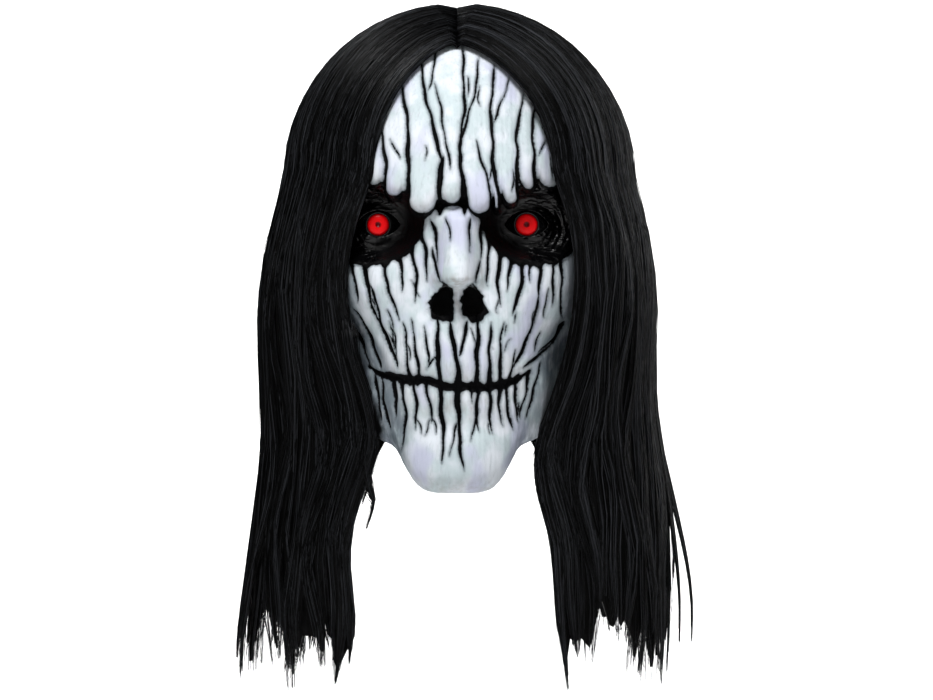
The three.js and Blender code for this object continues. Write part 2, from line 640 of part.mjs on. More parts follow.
// The outermost surface of one side of the hair at a share round the side, from the front edge to the back,
// and a level below the widest one.
function curtainPoint(side, round, z) {
  const [outColumn, edgeColumn] = side < 0 ? ['outL', 'edgeL'] : ['outR', 'edgeR']
  const level = (column) => read(hairLevels, 'drop', column, hairDropOf(z))
  const out = hairHalf * level(outColumn)
  const inFront = round < 0.5
  const turn = radians(inFront ? 180 * round : 180 * (round - 0.5))
  const edgeX = faceHalf * level(edgeColumn)
  const backX = hairHalf * level('backX')
  const x = inFront ? mix(edgeX, out, Math.sin(turn)) : mix(backX, out, Math.cos(turn))
  const edgeY = -faceDepth * level('edgeY')
  const y = inFront ? edgeY * Math.cos(turn) : backDepth * level('backY') * Math.sin(turn)
  return new THREE.Vector3(side * x, y, z)
}

// The parting of the hair at a share from its front end to its back end.
function partingPoint(side, share) {
  const turn = radians(mix(partingFront, partingBack, share))
  const depth = Math.cos(turn) > 0 ? partingFrontDepth : partingBackDepth
  const top = hairTop + domeHeight
  return new THREE.Vector3((side * partingGap) / 2, -depth * Math.cos(turn), widestZ + top * Math.sin(turn))
}

// The outermost surface over the dome, by the share round the side and degrees from the parting down.
function domePoint(side, round, turn) {
  const start = partingPoint(side, round)
  const end = curtainPoint(side, round, widestZ)
  const bow = mix(1.35, 1, clamp(round / 0.25, 0, 1))
  const across = Math.sin(radians(turn)) ** bow
  const down = 1 - Math.cos(radians(turn))
  const [x, y] = [mix(start.x, end.x, across), mix(start.y, end.y, across)]
  return new THREE.Vector3(x, y, mix(start.z, end.z, down))
}

// A point moved out of the shell to at least the gap from it.
function clearOfShell(point, gap) {
  const out = point.clone()
  const { half, front, back, square } = levelSizes(Math.min(out.z, widestZ))
  if (out.z > widestZ) {
    const depth = out.y < 0 ? faceDepth : backDepth
    const rise = out.z - widestZ
    const size = Math.hypot(out.x / (outerHalf + gap), out.y / (depth + gap), rise / (domeHeight + gap))
    if (size < 1) out.set(out.x / size, out.y / size, widestZ + rise / size)
  } else if (out.z > rimLevel(0) - gap) {
    const depth = out.y < 0 ? front : back
    const power = out.y < 0 ? square : 2
    const [across, along] = [Math.abs(out.x / (half + gap)), Math.abs(out.y / (depth + gap))]
    const size = (across ** power + along ** power) ** (1 / power)
    if (size < 1) out.set(out.x / size, out.y / size, out.z)
  }
  const inFace = out.y < 0 && Math.abs(out.x) < 0.93 * levelSizes(out.z).half && out.z > rimLevel(0)
  if (inFace) out.y = Math.min(out.y, facePoint(out.x, out.z).y - gap)
  return out
}

// One side of the hair as a closed comb. Its locks are fused side by side and come free of each other at the
// tips.
function hairSolid(side, locks) {
  const turns = [0, 9, 27, 45, 66]
  const levels = [widestZ, ...hairLevels.slice(1, 10).map(({ drop }) => hairLevelOf(drop))]
  const rows = turns.length + levels.length
  const starts = [0, ...locks.map((lock) => lock.end)]
  const positions = []
  const faces = []
  const places = new Map()

  // Distance inwards and the outer surface at a share round the side and a row.
  const thickness = (round, row) => {
    const fromEdge = Math.min(round, 1 - round) / 0.14
    const full = mix(hairEdge, hairThickness, easeStep(fromEdge))
    return row === 0 ? hairEdge : full
  }
  const surface = (round, row, z) => {
    if (row < turns.length) return domePoint(side, round, turns[row])
    return curtainPoint(side, round, z)
  }
  const outwards = (round, row, z) => {
    const step = 0.01
    const before = surface(clamp(round - step, 0, 1), row, z)
    const after = surface(clamp(round + step, 0, 1), row, z)
    const along = after.sub(before).setZ(0).normalize()
    const level = new THREE.Vector3(along.y, -along.x, 0).multiplyScalar(side)
    if (row >= turns.length) return level
    const centre = new THREE.Vector3(0, 0, widestZ)
    return surface(round, row, z).sub(centre).normalize()
  }
  const placeOf = (key, make) => {
    if (!places.has(key)) {
      places.set(key, positions.length / 3)
      const point = make()
      positions.push(point.x, point.y, point.z)
    }
    return places.get(key)
  }

  // A corner of a lock: its ridge is in the middle and its valleys at the sides.
  const corner = (lock, part, row, inside, level, taper = 0) => {
    const z = level ?? (row < turns.length ? 0 : levels[row - turns.length])
    const { swing } = locks[lock]
    const middle = (starts[lock] + starts[lock + 1]) / 2
    const edge = part === 1 ? middle : starts[lock + (part ? 1 : 0)]
    const round = mix(edge, middle + swing, taper * 0.8) + swing * taper
    const bound = lock + (part ? 1 : 0)
    const shared = part !== 1 && taper === 0
    const key = [inside, row, shared ? `edge ${bound}` : `lock ${lock} ${part}`].join(' ')
    return placeOf(key, () => {
      const share = clamp(round, 0, 1)
      const outer = surface(share, row, z)
      const normal = outwards(share, row, z)
      const valley = part === 1 || row === 0 ? 0 : valleyDepth
      if (row === 0) outer.z -= partingDip
      const thick = thickness(share, row) * (1 - 0.75 * taper)
      const shift = inside ? thick : Math.min(valley, thick * 0.4) + (taper * thick) / 3
      outer.addScaledVector(normal, -shift)
      if (row < turns.length && side * outer.x < partingGap / 2) outer.x = (side * partingGap) / 2
      return clearOfShell(outer, inside ? hairGap : 3 * hairGap)
    })
  }
  const quad = (a, b, c, d) => {
    if (side > 0) faces.push(a, b, c, a, c, d)
    else faces.push(a, c, b, a, d, c)
  }
  const triangle = (a, b, c) => faces.push(...(side > 0 ? [a, b, c] : [a, c, b]))

  for (let lock = 0; lock < locks.length; lock++) {
    const tip = hairLevelOf(locks[lock].tip)
    const ring = (row, z, taper) => {
      const at = (part, inside) => corner(lock, part, row, inside, z, taper)
      return [at(0, false), at(1, false), at(2, false), at(2, true), at(1, true), at(0, true)]
    }
    const rings = []
    for (let row = 0; row < rows; row++) rings.push(ring(row))
    for (let i = 1; i <= lockRows; i++) {
      const t = i / (lockRows + 1)
      rings.push(ring(rows + i, mix(levels.at(-1), tip, t), t))
    }
    const first = lock === 0
    const last = lock === locks.length - 1
    for (let i = 0; i + 1 < rings.length; i++) {
      const [a, b] = [rings[i], rings[i + 1]]
      quad(a[0], b[0], b[1], a[1])
      quad(a[1], b[1], b[2], a[2])
      quad(a[3], b[3], b[4], a[4])
      quad(a[4], b[4], b[5], a[5])
      if (last || i >= rows - 1) quad(a[2], b[2], b[3], a[3])
      if (first || i >= rows - 1) quad(a[5], b[5], b[0], a[0])
    }
    const top = rings[0]
    quad(top[0], top[1], top[4], top[5])
    quad(top[1], top[2], top[3], top[4])
    const end = rings.at(-1)
    const point = placeOf(`tip ${lock}`, () => {
      const middle = (starts[lock] + starts[lock + 1]) / 2 + locks[lock].swing * 2
      const place = surface(clamp(middle, 0, 1), rows, tip)
      return place.addScaledVector(outwards(clamp(middle, 0, 1), rows, tip), -hairThickness / 2)
    })
    for (let i = 0; i < 6; i++) triangle(end[i], point, end[(i + 1) % 6])
  }
  const geometry = new THREE.BufferGeometry()
  geometry.setAttribute('position', new THREE.Float32BufferAttribute(positions, 3))
  geometry.setIndex(faces)
  return solidOf(geometry).subtract(headBlock(hairGap / 2))
}

function material(color, roughness, metalness = 0) {
  return new THREE.MeshStandardMaterial({ color, roughness, metalness })
}

function node(name, geometry, finish) {
  const mesh = new THREE.Mesh(geometry, finish)
  mesh.name = name
  return mesh
}

// The cutter of the mouth, a slit that runs across the face.
function mouthSolid() {
  const rings = mouthLine.map(({ across, drop, height }) => {
    const [x, z, width] = [faceHalf * across, levelOf(drop), mouthHeight * height]
    const above = z + width / 2
    const below = z - width / 2
    return [
      new THREE.Vector3(x, facePoint(x, above).y - furrowLift, above),
      new THREE.Vector3(x, facePoint(x, z).y + mouthDepth, z + width / 4),
      new THREE.Vector3(x, facePoint(x, z).y + mouthDepth, z - width / 4),
      new THREE.Vector3(x, facePoint(x, below).y - furrowLift, below),
    ]
  })
  const ends = [mouthLine[0], mouthLine.at(-1)].map(({ across, drop }, i) => {
    const past = 0.4 * mouthHeight * (i ? 1 : -1)
    const point = facePoint(faceHalf * across + past, levelOf(drop))
    return point.setY(point.y - furrowLift / 2)
  })
  return solidOf(closedRings(ends[0], rings, ends[1]))
}

function shellSolid() {
  let shell = headBlock(0).subtract(hollowBlock())
  for (const side of [-1, 1]) {
    shell = shell.subtract(pocketSolid(side)).subtract(lidOpening(side)).subtract(nostrilOpening(side))
  }
  const grooves = [mouthSolid(), ...furrows.map(furrowSolid)]
  return shell.subtract(wasm.Manifold.union(grooves))
}

const latex = material(0xdfe4e8, 0.55)
const blackGloss = material(0x060606, 0.12)
const redResin = material(0xe01010, 0.15)
const blackHair = material(0x0c0c0e, 0.5)

const mask = new THREE.Group()
mask.add(node('mask_shell', geometryOf(shellSolid()), latex))
for (const [side, name] of [[-1, 'left'], [1, 'right']]) {
  mask.add(node(`eyeball_${name}`, geometryOf(eyeballSolid(side)), blackGloss))
  mask.add(node(`iris_${name}`, geometryOf(irisSolid(side)), redResin))
}
mask.add(node('hair_left', geometryOf(hairSolid(-1, locksLeft)), blackHair))
mask.add(node('hair_right', geometryOf(hairSolid(1, locksRight)), blackHair))

export default mask
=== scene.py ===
"""A pull-on skull mask with long black hair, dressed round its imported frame.

The shell is cast latex: one closed skin with the furrows, the brow, the lids and the nostrils modelled in
it, painted bone white over black. Behind the lids sit glossy black eyeballs with red irises. The hair is a
dark mass with thousands of strands over it, gathered in locks. Sizes are in millimetres, and turn to metres
where a mesh is made. The face looks along -Y. Left and right are as someone who looks at the face sees them.
"""

import logging
import math
from dataclasses import dataclass
from enum import Enum
from functools import partial
from typing import Any, Callable, Iterable, Sequence

import bpy
import numpy as np
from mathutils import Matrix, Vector

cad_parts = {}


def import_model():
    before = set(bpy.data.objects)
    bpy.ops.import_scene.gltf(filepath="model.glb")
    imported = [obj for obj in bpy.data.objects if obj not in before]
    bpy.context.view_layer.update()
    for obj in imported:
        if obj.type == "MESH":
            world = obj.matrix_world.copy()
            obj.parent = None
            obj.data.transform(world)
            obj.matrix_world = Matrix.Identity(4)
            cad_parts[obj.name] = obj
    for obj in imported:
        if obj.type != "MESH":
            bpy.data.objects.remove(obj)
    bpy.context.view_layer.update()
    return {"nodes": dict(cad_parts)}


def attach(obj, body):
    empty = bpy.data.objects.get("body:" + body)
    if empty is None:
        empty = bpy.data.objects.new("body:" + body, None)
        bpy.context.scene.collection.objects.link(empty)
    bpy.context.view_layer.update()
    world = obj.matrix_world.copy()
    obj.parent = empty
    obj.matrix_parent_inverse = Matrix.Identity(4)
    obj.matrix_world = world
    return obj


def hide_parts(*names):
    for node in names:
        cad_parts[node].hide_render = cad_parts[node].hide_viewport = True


LOG = logging.getLogger("skull_mask")
MM = 0.001
Array = np.ndarray
Picker = np.random.Generator
Marks = dict[str, Array]
Row = Sequence[float]
Pair = tuple[float, float]
Triple = tuple[float, float, float]
Reach = Callable[[Array, Array], Array]
Grid = tuple[int, Array]
Piece = bpy.types.Object
Material = bpy.types.Material
Socket = bpy.types.NodeSocket


class Side(Enum):
    """The two sides of the mask."""

    LEFT = -1
    RIGHT = 1

    @property
    def word(self) -> str:
        """The side in lower case, as the CAD nodes name it."""
        return self.name.lower()


class Zone(Enum):
    """The parts of the face that carry furrows."""

    FOREHEAD = "forehead"
    CHEEK = "cheek"
    UPPER_LIP = "upper lip"
    LOWER_LIP = "lower lip"


# Small helpers.


def linear(hex_colour: str) -> tuple[float, float, float, float]:
    """Turns an sRGB hex colour into linear values.

    Args:
        hex_colour: six hex digits, with or without a leading hash.

    Returns:
        Linear red, green, blue and an alpha of 1.
    """
    digits = hex_colour.lstrip("#")
    values = [int(digits[i : i + 2], 16) / 255 for i in (0, 2, 4)]
    out = [v / 12.92 if v <= 0.04045 else ((v + 0.055) / 1.055) ** 2.4 for v in values]
    return (out[0], out[1], out[2], 1.0)


def ease(t: Array | float) -> Array:
    """A smooth step from 0 to 1."""
    t = np.clip(t, 0.0, 1.0)
    return t * t * (3 - 2 * t)


def mix(a: Array | float, b: Array | float, t: Array | float) -> Array:
    """The value between a and b at a share."""
    return a + (b - a) * t


def through(keys: Row, values: Row, at: Array) -> Array:
    """Reads a smooth curve that passes through a table's rows.

    Args:
        keys: rising keys of the rows.
        values: one value a row.
        at: where to read.

    Returns:
        The values there, level beyond the ends.
    """
    xs, ys = np.asarray(keys, float), np.asarray(values, float)
    slope = np.zeros_like(ys)
    slope[1:-1] = (ys[2:] - ys[:-2]) / (xs[2:] - xs[:-2])
    at = np.clip(np.asarray(at, float), xs[0], xs[-1])
    k = np.clip(np.searchsorted(xs, at, side="right") - 1, 0, len(xs) - 2)
    span = xs[k + 1] - xs[k]
    t = (at - xs[k]) / span
    start, end, rise = slope[k] * span, slope[k + 1] * span, ys[k + 1] - ys[k]
    return ys[k] + t * start + t**2 * (3 * rise - 2 * start - end) + t**3 * (start + end - 2 * rise)


def soft_max(a: Array, b: Array, blend: float) -> Array:
    """The higher of two heights, with a soft bend between them."""
    share = np.clip(0.5 + (a - b) / (2 * blend), 0, 1)
    return mix(b, a, share) + blend * share * (1 - share)


def soft_min(a: Array, b: Array, blend: float) -> Array:
    """The lower of two distances, with a soft bend between them."""
    return -soft_max(-a, -b, blend)


def fading(away: Array, height: float, reach: float) -> Array:
    """A height that holds up to an edge and fades with the distance beyond it."""
    return height * np.exp(-np.maximum(away, 0) / reach)


def cut_in(away: Array, depth: float, reach: float) -> Array:
    """The depth of a cut, which is 0 at its edge and full a distance inside it."""
    return depth * ease(-away / reach)


def unit(v: Array) -> Array:
    """Vectors along the last axis at length 1."""
    return v / np.maximum(np.linalg.norm(v, axis=-1, keepdims=True), 1e-9)


def make_mesh(
    name: str, points: Array, faces: Sequence[Sequence[int]], marks: Marks | None = None
) -> Piece:
    """Makes a smooth-shaded mesh object from points in millimetres.

    Args:
        name: the piece's name.
        points: one row a vertex.
        faces: corner numbers of each face.
        marks: named numbers, one a vertex, that the materials read.

    Returns:
        The object, linked to the scene.
    """
    mesh = bpy.data.meshes.new(name)
    mesh.from_pydata((np.asarray(points) * MM).tolist(), [], faces)
    for mark, values in (marks or {}).items():
        layer = mesh.attributes.new(mark, "FLOAT", "POINT")
        layer.data.foreach_set("value", np.asarray(values, np.float32).ravel())
    mesh.polygons.foreach_set("use_smooth", np.ones(len(mesh.polygons), dtype=bool))
    mesh.validate()
    obj = bpy.data.objects.new(name, mesh)
    bpy.context.scene.collection.objects.link(obj)
    return obj


# The form of the head and the face.


@dataclass(frozen=True)
class Swell:
    """A smooth rise, or a hollow where the height is below 0."""

    height: float
    across: float
    level: float
    reach_across: float
    reach_up: float

    def at(self, x: Array, z: Array) -> Array:
        """Its height at places across and levels."""
        away = ((x - self.across) / self.reach_across) ** 2 + ((z - self.level) / self.reach_up) ** 2
        return self.height * np.exp(-away)


@dataclass(frozen=True)
class HeadForm:
    """The plain head and the relief of the face, from the sizes that the solids have."""

    wall: float = 3.0
    face_height: float = 264.5
    dome_height: float = 88.0
    half_width: float = 84.0
    front_depth: float = 100.0
    back_depth: float = 98.0
    face_half: float = 66.0
    brow_rise: float = 10.0
    brow_height: float = 26.0
    brow_lip: float = 2.5
    lobe_roll: Pair = (4.2, 3.0)
    socket_half: Pair = (28.0, 21.5)
    socket_depth: float = 13.0
    socket_lean: float = 0.5
    socket_slant: float = 0.12
    eye_spacing: float = 82.0
    eye_shift: float = -2.5
    eye_drop: float = 118.0
    eye_setback: float = 62.0
    eye_radius: float = 14.0
    lid_cover: float = 2.1
    lid_blend: float = 3.0
    lid_half: Triple = (12.5, 8.0, 7.0)
    fold_pitch: Pair = (2.7, 1.6)
    fold_height: Pair = (0.5, 0.25)
    nose_top: float = 0.425
    nose_length: float = 36.0
    nose_rise: float = 18.0
    nose_half: float = 13.0
    nose_shift: float = 0.5
    nostril_half: Pair = (5.5, 8.3)
    nostril_spacing: float = 16.0
    nostril_drop: float = 160.5
    nostril_lean: float = 14.0
    chin_round: float = 12.0

    @property
    def top(self) -> float:
        """The outer top of the head."""
        return self.wall

    @property
    def widest(self) -> float:
        """The widest level of the head."""
        return self.top - self.dome_height

    def level(self, drop: Array | float) -> Array:
        """The level at a share of the face height below the top."""
        return self.top - np.asarray(drop) * self.face_height

    def eye_centre(self, side: Side) -> Array:
        """The centre of one eyeball."""
        x = side.value * self.eye_spacing / 2 + self.eye_shift
        return np.array([x, -self.eye_setback, self.top - self.eye_drop])

    def nostril_centre(self, side: Side) -> Pair:
        """The place across and the level of one nostril."""
        return side.value * self.nostril_spacing / 2 + self.nose_shift, self.top - self.nostril_drop

    def sizes(self, z: Array) -> tuple[Array, Array, Array, Array]:
        """The sizes of the plain head at some levels.

        Args:
            z: the levels.

        Returns:
            Half width, front depth, back depth and squareness of the front.
        """
        drops = (0.333, 0.408, 0.503, 0.601, 0.692, 0.786, 0.9, 1.0)
        width = (0.975, 1.0, 0.985, 0.93, 0.845, 0.75, 0.635, 0.53)
        front = (1.0, 1.0, 0.97, 0.94, 0.93, 0.93, 0.93, 0.93)
        back = (1.0, 0.99, 0.95, 0.89, 0.83, 0.79, 0.77, 0.77)
        square = (2.0, 2.0, 2.05, 2.05, 2.05, 2.1, 2.3, 2.6)
        drop = (self.top - z) / self.face_height
        above = np.clip((z - self.widest) / self.dome_height, 0, 1)
        dome = np.sqrt(np.maximum(1 - above * above, 0))
        return (
            self.half_width * dome * through(drops, width, drop),
            self.front_depth * dome * through(drops, front, drop),
            self.back_depth * dome * through(drops, back, drop),
            through(drops, square, drop),
        )

    def rim(self, angle: Array) -> Array:
        """The level of the lower edge, by degrees round the head from the middle of the face."""
        turns = (0, 12, 20, 26, 31, 35, 41, 56, 75, 95, 130, 180)
        drops = (1.0, 0.9985, 0.989, 0.97, 0.942, 0.914, 0.9, 0.888, 0.865, 0.835, 0.795, 0.785)
        return self.level(through(turns, drops, np.abs(angle)))

    def brow(self, x: Array) -> Array:
        """The plain level of the lower edge of the brow."""
        across = (0, 0.2, 0.4, 0.6, 0.8, 1.1)
        drops = (0.418, 0.424, 0.408, 0.385, 0.368, 0.37)
        return self.level(through(across, drops, np.abs(x) / self.face_half))

    def brow_edge(self, x: Array) -> Array:
        """The lower edge of the brow with its lobes, which hang down between the furrows.

        Args:
            x: places across.

        Returns:
            The levels.
        """
        lobes = (  # left end, right end and lowest level
            (-60, -50.6, -94.5), (-49.3, -40.9, -93.5), (-39.6, -28.8, -99.8), (-26.4, -11.2, -110),
            (-7.6, 2.4, -104.4), (5.9, 19.4, -110), (20.4, 24, -107.5), (25.2, 33.6, -104), (35, 43.2, -96),
            (44.6, 57.5, -94.4),
        )
        above_lobes, roundness = 6.0, 1.125
        plain = self.brow(x) + above_lobes
        edge = plain
        for left, right, lowest in lobes:
            middle, half = (left + right) / 2, (right - left) / 2
            across = np.clip((x - middle) / half, -1, 1)
            bottom = lowest + roundness * half * (1 - np.sqrt(1 - 0.999 * across * across))
            edge = np.where((x >= left) & (x <= right), np.minimum(plain, bottom), edge)
        return edge

    def socket(self, x: Array, z: Array) -> tuple[Array, Array, Array]:
        """Where a place lies in the nearer socket.

        Args:
            x: places across.
            z: levels.

        Returns:
            The distance outwards from the eye, that upwards, and the reach, which is 1 at the socket's edge.
        """
        side = np.where(x < self.eye_shift, -1.0, 1.0)
        out = side * (x - (side * self.eye_spacing / 2 + self.eye_shift))
        up = z - (self.top - self.eye_drop)
        reach = (out / self.socket_half[0]) ** 2 + ((up + out * self.socket_slant) / self.socket_half[1]) ** 2
        return out, up, reach

    def relief(self, x: Array, z: Array, plain_y: Array) -> Array:
        """How far the features stand out of the plain head, towards the front.

        Args:
            x: places across.
            z: levels.
            plain_y: depths of the plain head there.

        Returns:
            The heights.
        """
        over = ease((z - self.brow_edge(x)) / self.brow_lip + 1)
        height = self.brow_relief(x, z, over) + self.socket_relief(x, z, plain_y) * (1 - over)
        height = height + self.nose_relief(x, z)
        for swell in self.swells():
            height = height + swell.at(np.abs(x), z)
        return height

    def brow_relief(self, x: Array, z: Array, over: Array) -> Array:
        """The brow, whose lobes roll in at their lower ends.

        Args:
            x: places across.
            z: levels.
            over: 1 above the edge of the brow and 0 below.

        Returns:
            The heights.
        """
        ax = np.abs(x)
        fall = np.exp(-(((z - self.brow(x)) / self.brow_height) ** 2))
        rolled = fading(z - self.brow_edge(x), *self.lobe_roll) * ease((75 - ax) / 20)
        return over * (self.brow_rise * fall * (1 - 0.25 * ease(ax / self.face_half)) - rolled)

    def socket_relief(self, x: Array, z: Array, plain_y: Array) -> Array:
        """The sockets, with the lids and their folds in them.

        Args:
            x: places across.
            z: levels.
            plain_y: depths of the plain head there.

        Returns:
            The heights.
        """
        out, up, reach = self.socket(x, z)
        lean = 1 - out / self.socket_half[0] * self.socket_lean
        floor = -self.socket_depth * lean * ease((1 - reach) / 0.75)
        radius = self.eye_radius + self.lid_cover
        away = np.hypot(out, up)
        near = np.minimum(away, 0.75 * radius)
        cap = np.sqrt(radius * radius - near * near)
        lid = plain_y + self.eye_setback + cap - (away - near) * near / cap
        rings = np.hypot(out / 1.3, up * np.where(up > 0, 1.05, 0.9))
        turn = np.arctan2(up, out)
        wander = 1.4 * np.sin(2.3 * turn + 0.7) + 0.9 * np.sin(5.1 * turn + 1.0) + 0.5 * np.sin(9.7 * turn)
        wide, fine = (rings * 2 * math.pi / pitch for pitch in self.fold_pitch)
        high, low = self.fold_height
        folds = high * np.sin(wide + wander) + low * np.sin(fine - 1.7 * wander)
        folds = folds * ease((rings - 8.6) / 2) * ease((22 - rings) / 6) * mix(0.55, 1.0, ease(-up / 8))
        return (soft_max(floor, lid, self.lid_blend) + folds) * ease((1.7 - reach) / 0.6)

    def nose_relief(self, x: Array, z: Array) -> Array:
        """The ridge of the nose, which widens and rises to its tip.

        Args:
            x: places across.
            z: levels.

        Returns:
            The heights.
        """
        top = self.level(self.nose_top)
        along = np.clip((top - z) / self.nose_length, 0, 1)
        half = self.nose_half * mix(0.75, 1, along)
        ridge = ease(1.25 - np.abs(x - self.nose_shift) / half)
        ends = ease((top + 6 - z) / 10) * (1 - ease((top - self.nose_length - z) / 7))
        return self.nose_rise * mix(0.4, 1, along) * ridge * ends

    def swells(self) -> list[Swell]:
        """The soft forms of the face, which are alike on both sides.

        Returns:
            One for each form.
        """
        nostril_drop = self.nostril_drop / self.face_height
        rows = (  # height, place across, share of the face height below the top, reach across and up
            (-3, 0, nostril_drop, 17, 12),  # dent round the nostrils
            (5, 0, nostril_drop, 3.5, 14),  # septum
            (8, 51, 0.575, 22, 17),  # cheekbone
            (-7, 54, 0.71, 14, 19),  # hollow of the cheek
            (9, 0, 0.72, 32, 32),  # muzzle
            (8, 0, 0.95, 31, 22),  # chin
            (-2, 0, 0.87, 28, 7),  # crease over the chin
        )
        return [Swell(rise, across, float(self.level(drop)), *reach) for rise, across, drop, *reach in rows]

    def surface(self, angle: Array, z: Array, featured: bool = True) -> Array:
        """Points of the outer surface.

        Args:
            angle: degrees round the head from the middle of the face.
            z: levels.
            featured: with the relief of the face, or plain.

        Returns:
            The points, along a new last axis.
        """
        half, front, back, square = self.sizes(z)
        turn = np.radians(angle)
        sine, cosine = np.sin(turn), np.cos(turn)
        across = np.sign(sine) * np.abs(sine) ** (2 / square)
        in_front = np.abs(angle) <= 90
        x = np.where(in_front, half * across, half * sine)
        plain_y = np.where(in_front, -front * np.abs(cosine) ** (2 / square), -back * cosine)
        fade = np.where(in_front, 1 - ease((np.abs(across) - 0.8) / 0.17), 0.0)
        over_rim = z - self.rim(angle)
        round_ = self.chin_round * (1 - ease((np.abs(angle) - 36) / 14))
        bend = np.clip(0.94 * (1 - over_rim / (0.94 * np.maximum(round_, 0.01))), 0, 0.94)
        retreat = round_ * (1 - np.sqrt(1 - bend * bend))
        height = self.relief(x, z, plain_y) * fade if featured else 0.0
        return np.stack([x, plain_y - height + retreat, z], axis=-1)

    def face_y(self, x: Array, z: Array) -> Array:
        """The depth of the featured face at places across and levels."""
        half, _, _, square = self.sizes(z)
        sine = np.clip(np.abs(x) / np.maximum(half, 1e-6), 0, 1) ** (square / 2)
        return self.surface(np.sign(x) * np.degrees(np.arcsin(sine)), z)[..., 1]


@dataclass(frozen=True)
class Furrow:
    """One furrow, from its upper end to its lower, with its sideways bow and its width at both ends."""

    x: float
    z: float
    to_x: float
    to_z: float
    bow: float
    width: float
    to_width: float

    def line(self, seed: int, count: int = 26) -> tuple[Array, Array, Array]:
        """The furrow's winding line.

        Args:
            seed: which small windings it takes.
            count: number of points.

        Returns:
            Places across, levels and half widths along it.
        """
        t = np.linspace(0, 1, count)
        length = math.hypot(self.to_x - self.x, self.to_z - self.z)
        sway = self.bow * np.sin(math.pi * t)
        wind = 0.55 * np.sin(length * t / 5.2 + seed * 1.7) + 0.3 * np.sin(length * t / 2.3 + seed * 2.9)
        x = mix(self.x, self.to_x, t) + sway + wind * np.sin(math.pi * t) ** 0.5
        z = mix(self.z, self.to_z, t)
        swell = 1 + 0.22 * np.sin(length * t / 4.1 + seed * 2.3)
        blunt = np.clip(np.minimum(t, 1 - t) * length / 4.5, 0, 1) ** 0.5
        half = mix(self.width, self.to_width, t) * 0.46 * swell * blunt
        return x, z, half


